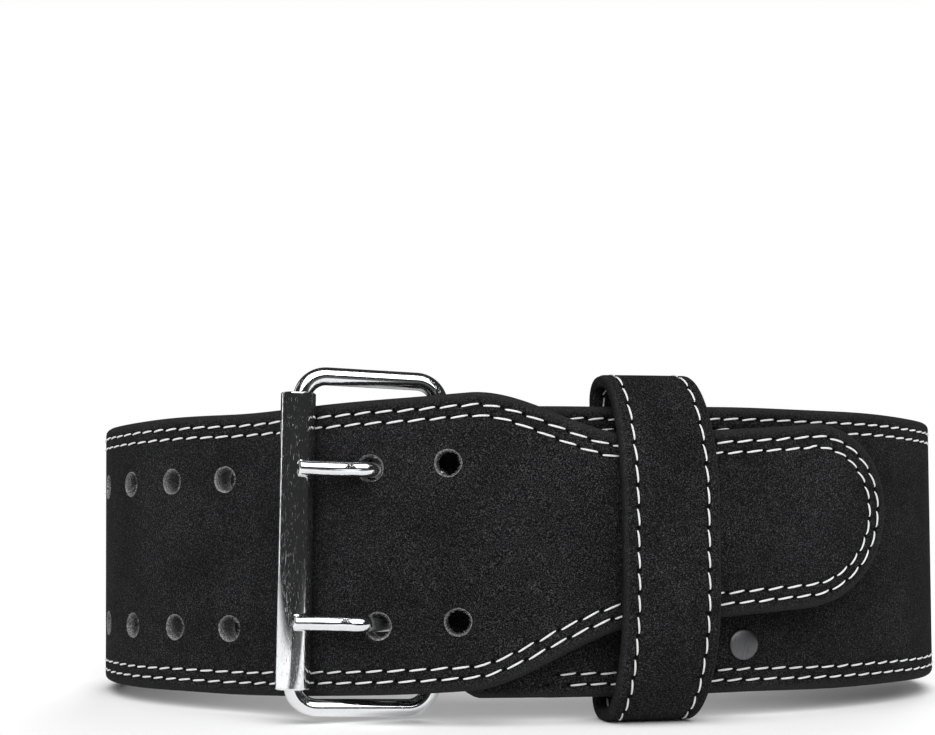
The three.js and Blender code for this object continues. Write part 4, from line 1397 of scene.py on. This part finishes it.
class BELT_OT_build_rivets(bpy.types.Operator):
    """Build the four rivets that close the fold"""

    bl_idname = "belt.build_rivets"
    bl_label = "Rivets"

    def execute(self, context):
        belt = Belt()
        b, s = belt.buckle, belt.strap
        tone = settings("belt_colours").rivet
        dark = metal_material("dark_plating", tone, low=0.30, high=0.62, scratch_size=0.0004)
        cap, shank = b.rivet_cap / 2, b.rivet_shank / 2
        seat = s.thickness + s.skived_thickness + 3 * b.touch_gap
        bows = np.linspace(0, math.pi / 2, 14)
        rim = 0.25 * b.rivet_cap_height
        dome = [(cap * math.sin(a), rim + (b.rivet_cap_height - rim) * math.cos(a)) for a in bows]
        profile = [(r, -seat - z) for r, z in dome] + [(cap - 0.0002, -seat), (shank, -seat)]
        profile += [(shank, 0.0), (cap - 0.0002, 0.0)] + dome[::-1]
        angles = np.linspace(0, 2 * np.pi, 48, endpoint=False)
        for place, at in (("near", b.near_rivet_at), ("far", b.far_rivet_at)):
            for level, name, side in (("upper", "top", 1), ("lower", "bottom", -1)):
                height = side * b.rivet_spacing / 2
                foot = belt.place(at, b.touch_gap, height)
                out = belt.place(at, b.touch_gap + PROBE, height) - foot
                out /= np.linalg.norm(out)
                across = np.cross(UP, out)
                ring = np.cos(angles)[:, None] * across + np.sin(angles)[:, None] * UP
                points = np.vstack([foot + out * z + ring * max(r, 1e-9) for r, z in profile])
                index = np.arange(len(points)).reshape(len(profile), -1)
                faces = grid_faces(index, closed_columns=True)
                piece = make_piece(f"rivet_{place}_{name}", points, faces, dark, "rivet_metal", belt)
                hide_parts(f"rivet_{place}_{level}")
        return {"FINISHED"}


def oblong(left, right, low, high):
    """Corners of an upright four-sided shape."""
    return [(left, low), (right, low), (right, high), (left, high)]


class BELT_OT_build_patch(bpy.types.Operator):
    """Build the rubber patch at the back, its sewn groove and its inlays"""

    bl_idname = "belt.build_patch"
    bl_label = "Back patch"

    def execute(self, context):
        belt = Belt()
        p = settings("belt_patch_sizes")
        colours = settings("belt_colours")
        rubber = rubber_material("patch_rubber", colours.rubber, 0.5, colours.rim)
        base = belt.buckle.touch_gap
        top = base + p.thickness
        bevel = 0.0003
        profile = (
            (0.0, 2 * bevel),
            (bevel, bevel * 0.4),
            (2 * bevel, 0.0),
            (p.rim / 2, 0.0),
            (p.rim - bevel, 0.0),
            (p.rim, bevel),
            (p.rim + bevel, p.recess),
            (p.rim + p.groove / 2, p.recess),
            (p.rim + p.groove - bevel, p.recess),
            (p.rim + p.groove, p.panel_drop + bevel),
            (p.rim + p.groove + bevel, p.panel_drop),
        )
        steps, drops = zip(*profile)
        inside = steps[-1]

        def spread(half, pieces):
            """Places across the patch, close together at its rim."""
            edge = [-half + d for d in steps]
            plain = np.linspace(-half + inside, half - inside, pieces)[1:-1]
            return np.array([*edge, *plain, *[-v for v in reversed(edge)]])

        xs, zs = spread(p.width / 2, 44), spread(p.height / 2, 12)
        x, z = np.meshgrid(xs, zs, indexing="ij")
        inset = np.minimum(p.width / 2 - np.abs(x), p.height / 2 - np.abs(z))
        level = top - np.interp(inset, steps, drops)
        over_x, over_z = np.abs(x) - (p.width / 2 - p.corner), np.abs(z) - (p.height / 2 - p.corner)
        past = np.hypot(np.maximum(over_x, 0), np.maximum(over_z, 0))
        outside = (over_x > 0) & (over_z > 0) & (past > p.corner)
        pull = np.where(outside, p.corner / np.maximum(past, 1e-9), 1.0)
        x = np.where(pull < 1, np.sign(x) * (p.width / 2 - p.corner + over_x * pull), x)
        z = np.where(pull < 1, np.sign(z) * (p.height / 2 - p.corner + over_z * pull), z)
        middle = belt.length / 2
        front = belt.place(middle + x, level, p.lift + z)
        back = belt.place(middle + x, base, p.lift + z)
        count = x.size
        index = np.arange(count).reshape(x.shape)
        border = [*index[:, 0], *index[-1, 1:], *index[-2::-1, -1], *index[0, -2:0:-1]]
        faces = grid_faces(index) + grid_faces(index[::-1] + count)
        faces += [(a, b, b + count, a + count) for a, b in zip(border, border[1:] + border[:1])]
        points = np.vstack([front.reshape(-1, 3), back.reshape(-1, 3)])
        piece = make_piece("patch", points, faces, rubber, "patch_rubber", belt)
        rim = np.interp(inset.ravel(), [p.rim, p.rim + bevel, inside - bevel, inside], [0.12, 1.0, 1.0, 0.0])
        give_values(piece.data, belt, points, np.tile(rim, 2), "rim")
        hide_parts("back_patch")
        self.inlays(belt, p, colours, top - p.panel_drop)
        self.sew(belt, p, colours, top - p.recess)
        return {"FINISHED"}

    def inlays(self, belt, p, colours, level):
        """A barbell between chevrons, over a red and a white bar."""
        red, white = [], []
        for side in (-1, 1):
            for k in range(3):
                x = side * (0.0305 + 0.0078 * k)
                tip = x + side * 0.0060
                width = side * 0.0048
                for end in (-1, 1):
                    low, high = BARBELL_LEVEL + end * 0.0185, BARBELL_LEVEL
                    red.append([(x, low), (x + width, low), (tip + width, high), (tip, high)])
            for near, far, tall in DISCS:
                white.append(oblong(side * near, side * far, BARBELL_LEVEL - tall, BARBELL_LEVEL + tall))
            white.append(oblong(side * 0.0250, side * 0.0295, 0.0035, 0.0065))
        white.append(oblong(-0.0092, 0.0092, 0.0036, 0.0064))
        white.append(oblong(-0.052, 0.052, -0.0262, -0.0243))
        red.append(oblong(-0.052, 0.052, -0.0228, -0.0203))
        looks = (("inlays_red", red, colours.inlay_red), ("inlays_white", white, colours.inlay_white))
        for name, shapes, tone in looks:
            material = rubber_material(name, tone, 0.45)
            parts = [self.inlay(belt, p, shape, level) for shape in shapes]
            make_piece(name, *joined(parts), material, "patch_rubber", belt, 30.0)

    def inlay(self, belt, p, corners, level):
        """One raised four-sided inlay that follows the strap."""
        corners = np.array(corners)
        reach = np.ptp(corners[:, 0])
        columns = max(2, math.ceil(reach / 0.003))
        bevel = 0.00012
        u = np.linspace(0, 1, columns + 1)[:, None]
        rows = []
        for shrink, lift in ((0.0, -0.0004), (0.0, p.inlay - bevel), (bevel, p.inlay)):
            centre = corners.mean(axis=0)
            size = np.abs(corners - centre).max(axis=0)
            shape = centre + (corners - centre) * (1 - shrink / size)
            bottom = shape[0] + (shape[1] - shape[0]) * u
            upper = shape[3] + (shape[2] - shape[3]) * u
            for line in (bottom, upper):
                rows.append(belt.place(belt.length / 2 + line[:, 0], level + lift, p.lift + line[:, 1]))
        order = [0, 2, 4, 5, 3, 1]
        points = np.stack([rows[i] for i in order], axis=1)
        index = np.arange(points.shape[0] * 6).reshape(-1, 6)
        return points.reshape(-1, 3), rod_faces(index)

    def sew(self, belt, p, colours, level):
        """Dark stitches in the groove inside the rim."""
        st = belt.stitch
        inset = p.rim + p.groove / 2
        pitch = 0.9 * st.pitch
        corners = [(p.corner, p.corner)] * 4
        half_width, half_height = p.width / 2 - inset, p.height / 2 - inset
        loop, _, phases = rounded_loop(half_width, half_height, corners, pitch, STITCH_PLACES)
        lines = []
        for lift in (0.0, PROBE):
            line = belt.place(belt.length / 2 + loop[:, 0], level + 0.0003 + lift, p.lift + loop[:, 1])
            lines.append(np.vstack([line, line[:1]]))
        rng = np.random.default_rng(SEED + 2)
        around = math.ceil(phases[-1])
        closed = np.append(phases, around)
        ways = (lines[1] - lines[0]) / PROBE
        thick = SimpleNamespace(share=st.share, thread=p.thread, pitch=pitch)
        parts = stitches(lines[0], ways, closed, np.arange(around), thick, 2 * st.slant, rng)
        thread = thread_material("dark_thread", colours.dark_thread)
        make_piece("patch_stitches", *parts, thread, "patch_rubber", belt)


class BELT_OT_build_stage(bpy.types.Operator):
    """Set the floor, the lights, the surroundings and the camera"""

    bl_idname = "belt.build_stage"
    bl_label = "Stage"

    def execute(self, context):
        belt = Belt()
        stage = settings("belt_stage")
        context.scene.view_settings.view_transform = "Standard"
        self.floor(stage)
        self.surroundings(context, stage)
        aim = belt.stance.translation
        # Each lamp's name, power, place and size, and whether it lights cloth and shows in polished metal
        lamps = (
            ("top_light", stage.top_power, (0.0, -0.96, 1.10), (1.8, 1.45), True, True),
            ("left_light", stage.left_power, (-1.2, 0.50, 0.45), (0.2, 0.9), False, True),
            ("back_light", stage.back_power, (0.3, 1.5, 1.1), (1.6, 1.2), True, False),
        )
        for name, power, spot, (width, height), lights_cloth, mirrored in lamps:
            light = bpy.data.lights.new(name, "AREA")
            light.shape = "RECTANGLE"
            light.energy, light.size, light.size_y = power, width, height
            lamp = bpy.data.objects.new(name, light)
            lamp.location = spot
            lamp.rotation_euler = (aim - Vector(spot)).to_track_quat("-Z", "Y").to_euler()
            lamp.visible_camera, lamp.visible_diffuse, lamp.visible_glossy = False, lights_cloth, mirrored
            context.collection.objects.link(lamp)
        self.camera(context, belt, stage)
        return {"FINISHED"}

    def floor(self, stage):
        """A plain pale floor under the belt."""
        half = stage.floor_size / 2
        mesh = bpy.data.meshes.new("floor")
        corners = [(-half, -half, 0), (half, -half, 0), (half, half, 0), (-half, half, 0)]
        mesh.from_pydata(corners, [], [(0, 1, 2, 3)])
        material, tree, shader = new_material("plain_floor")
        grain = place_group(tree, grain_group(), (-600, 100), Grain_Size=0.004, Cloud_Size=0.5)
        tone = settings("belt_colours").floor
        mixed = mix_colours(tree, grain.outputs["Cloud"], darker(tone, 0.985), tone, (-300, 200))
        tree.links.new(mixed, shader.inputs["Base Color"])
        set_inputs(shader, Roughness=0.9, Specular_IOR_Level=0.1)
        self.cove(tree, shader, stage)
        mesh.materials.append(material)
        floor = bpy.data.objects.new("floor", mesh)
        bpy.context.collection.objects.link(floor)

    def cove(self, tree, shader, stage):
        """Fades the floor into the plain backdrop for the eye, and paints a patch of its front dark for
        polished metal to mirror, a painted dark reflection.
        """
        place = node(tree, "ShaderNodeTexCoord", (-600, -300))
        away = node(tree, "ShaderNodeVectorMath", (-400, -300), operation="LENGTH")
        reach = node(tree, "ShaderNodeMapRange", (-200, -300), interpolation_type="SMOOTHERSTEP")
        set_inputs(reach, From_Min=stage.cove_start, From_Max=stage.cove_end)
        seen = node(tree, "ShaderNodeLightPath", (-400, -500))
        both = node(tree, "ShaderNodeMath", (0, -300), operation="MULTIPLY")
        plain = set_inputs(node(tree, "ShaderNodeEmission", (0, -150)), Strength=stage.backdrop)
        plain.inputs["Color"].default_value = (1.0, 1.0, 1.0, 1.0)
        mix = node(tree, "ShaderNodeMixShader", (350, 0))
        # Painted dark reflection: for glossy rays a patch of the floor in front turns to a dark glow
        axes = node(tree, "ShaderNodeSeparateXYZ", (-400, -700))
        ahead = node(tree, "ShaderNodeMapRange", (-200, -700))
        set_inputs(ahead, From_Min=DARK_REFLECTION_AHEAD[0], From_Max=DARK_REFLECTION_AHEAD[1])
        across = node(tree, "ShaderNodeMapRange", (-200, -900))
        set_inputs(across, From_Min=DARK_REFLECTION_ACROSS[0], From_Max=DARK_REFLECTION_ACROSS[1])
        flag = node(tree, "ShaderNodeMath", (0, -700), operation="MULTIPLY")
        shine = node(tree, "ShaderNodeMath", (150, -700), operation="MULTIPLY")
        share = node(tree, "ShaderNodeMath", (300, -700), operation="MULTIPLY")
        share.inputs[1].default_value = stage.flag
        dark = set_inputs(node(tree, "ShaderNodeEmission", (350, -300)), Strength=stage.room)
        with_dark_reflection = node(tree, "ShaderNodeMixShader", (550, 0))
        for start, end in (
            (place.outputs["Object"], axes.inputs[0]),
            (axes.outputs["Y"], ahead.inputs["Value"]),
            (axes.outputs["X"], across.inputs["Value"]),
            (ahead.outputs["Result"], flag.inputs[0]),
            (across.outputs["Result"], flag.inputs[1]),
            (flag.outputs[0], shine.inputs[0]),
            (seen.outputs["Is Glossy Ray"], shine.inputs[1]),
            (shine.outputs[0], share.inputs[0]),
            (share.outputs[0], with_dark_reflection.inputs[0]),
            (mix.outputs[0], with_dark_reflection.inputs[1]),
            (dark.outputs[0], with_dark_reflection.inputs[2]),
            (place.outputs["Object"], away.inputs[0]),
            (away.outputs["Value"], reach.inputs["Value"]),
            (reach.outputs["Result"], both.inputs[0]),
            (seen.outputs["Is Camera Ray"], both.inputs[1]),
            (both.outputs[0], mix.inputs[0]),
            (shader.outputs[0], mix.inputs[1]),
            (plain.outputs[0], mix.inputs[2]),
            (with_dark_reflection.outputs[0], tree.nodes["Material Output"].inputs["Surface"]),
        ):
            tree.links.new(start, end)

    def surroundings(self, context, stage):
        """A plain backdrop for the eye, soft light for cloth, and a dark room for metal to mirror."""
        world = bpy.data.worlds.new("studio")
        context.scene.world = world
        world.use_nodes = True
        tree = world.node_tree
        tree.nodes.clear()
        ray = node(tree, "ShaderNodeLightPath", (-300, 300))
        room = set_inputs(node(tree, "ShaderNodeBackground", (-300, 0)), Strength=stage.sky)
        mirrored = set_inputs(node(tree, "ShaderNodeBackground", (-300, -200)), Strength=stage.room)
        plain = set_inputs(node(tree, "ShaderNodeBackground", (0, 200)), Strength=stage.backdrop)
        shiny = node(tree, "ShaderNodeMixShader", (0, 0))
        seen = node(tree, "ShaderNodeMixShader", (250, 100))
        out = node(tree, "ShaderNodeOutputWorld", (500, 100))
        for start, end in (
            (ray.outputs["Is Glossy Ray"], shiny.inputs[0]),
            (room.outputs[0], shiny.inputs[1]),
            (mirrored.outputs[0], shiny.inputs[2]),
            (ray.outputs["Is Camera Ray"], seen.inputs[0]),
            (shiny.outputs[0], seen.inputs[1]),
            (plain.outputs[0], seen.inputs[2]),
            (seen.outputs[0], out.inputs[0]),
        ):
            tree.links.new(start, end)
        for background in (room, mirrored, plain):
            background.inputs["Color"].default_value = (1.0, 1.0, 1.0, 1.0)

    def camera(self, context, belt, stage):
        """The camera in the belt's middle plane, at the photograph's angle and framing."""
        data = bpy.data.cameras.new("camera")
        data.sensor_width = SENSOR_WIDTH
        data.lens = stage.focal_pixels * SENSOR_WIDTH / IMAGE_WIDTH
        data.shift_x = (IMAGE_WIDTH / 2 - stage.centre_x) / IMAGE_WIDTH
        wanted = (stage.centre_y - IMAGE_HEIGHT / 2) / IMAGE_WIDTH
        data.shift_y = min(wanted, stage.shift_limit)
        data.clip_start, data.clip_end = 0.01, 50.0
        pitch = math.atan((wanted - data.shift_y) * IMAGE_WIDTH / stage.focal_pixels)
        camera = bpy.data.objects.new("camera", data)
        camera.location = belt.stance @ Vector((0, -stage.distance, 0))
        way = (belt.stance.to_3x3() @ Vector((0, 1, 0))).normalized()
        rise = math.asin(way.z) + pitch
        heading = math.atan2(way.x, way.y)
        camera.rotation_euler = (math.pi / 2 + rise, 0.0, -heading)
        context.collection.objects.link(camera)
        context.scene.camera = camera


OPERATORS = (
    BELT_OT_build_strap,
    BELT_OT_build_strap_stitches,
    BELT_OT_build_keeper,
    BELT_OT_build_buckle,
    BELT_OT_build_rivets,
    BELT_OT_build_patch,
    BELT_OT_build_stage,
)


class BELT_PT_pieces(bpy.types.Panel):
    """Belt sizes, colours and builders"""

    bl_idname = "BELT_PT_pieces"
    bl_label = "Weightlifting Belt"
    bl_space_type = "VIEW_3D"
    bl_region_type = "UI"
    bl_category = "Belt"

    def draw(self, context):
        for name, group in GROUPS.items():
            box = self.layout.box()
            box.label(text=group.__doc__)
            for key in group.__annotations__:
                box.prop(getattr(context.scene, name), key)
        for operator in OPERATORS:
            self.layout.operator(operator.bl_idname)


CLASSES = (*GROUPS.values(), *OPERATORS, BELT_PT_pieces)


def register():
    for cls in CLASSES:
        bpy.utils.register_class(cls)
    for name, group in GROUPS.items():
        setattr(bpy.types.Scene, name, PointerProperty(type=group))


def unregister():
    for name in GROUPS:
        delattr(bpy.types.Scene, name)
    for cls in reversed(CLASSES):
        bpy.utils.unregister_class(cls)


def main():
    """Registers the add-on and builds every piece."""
    register()
    bpy.ops.belt.build_strap()
    bpy.ops.belt.build_strap_stitches()
    bpy.ops.belt.build_keeper()
    bpy.ops.belt.build_buckle()
    bpy.ops.belt.build_rivets()
    bpy.ops.belt.build_patch()
    bpy.ops.belt.build_stage()


if __name__ == "__main__":
    main()
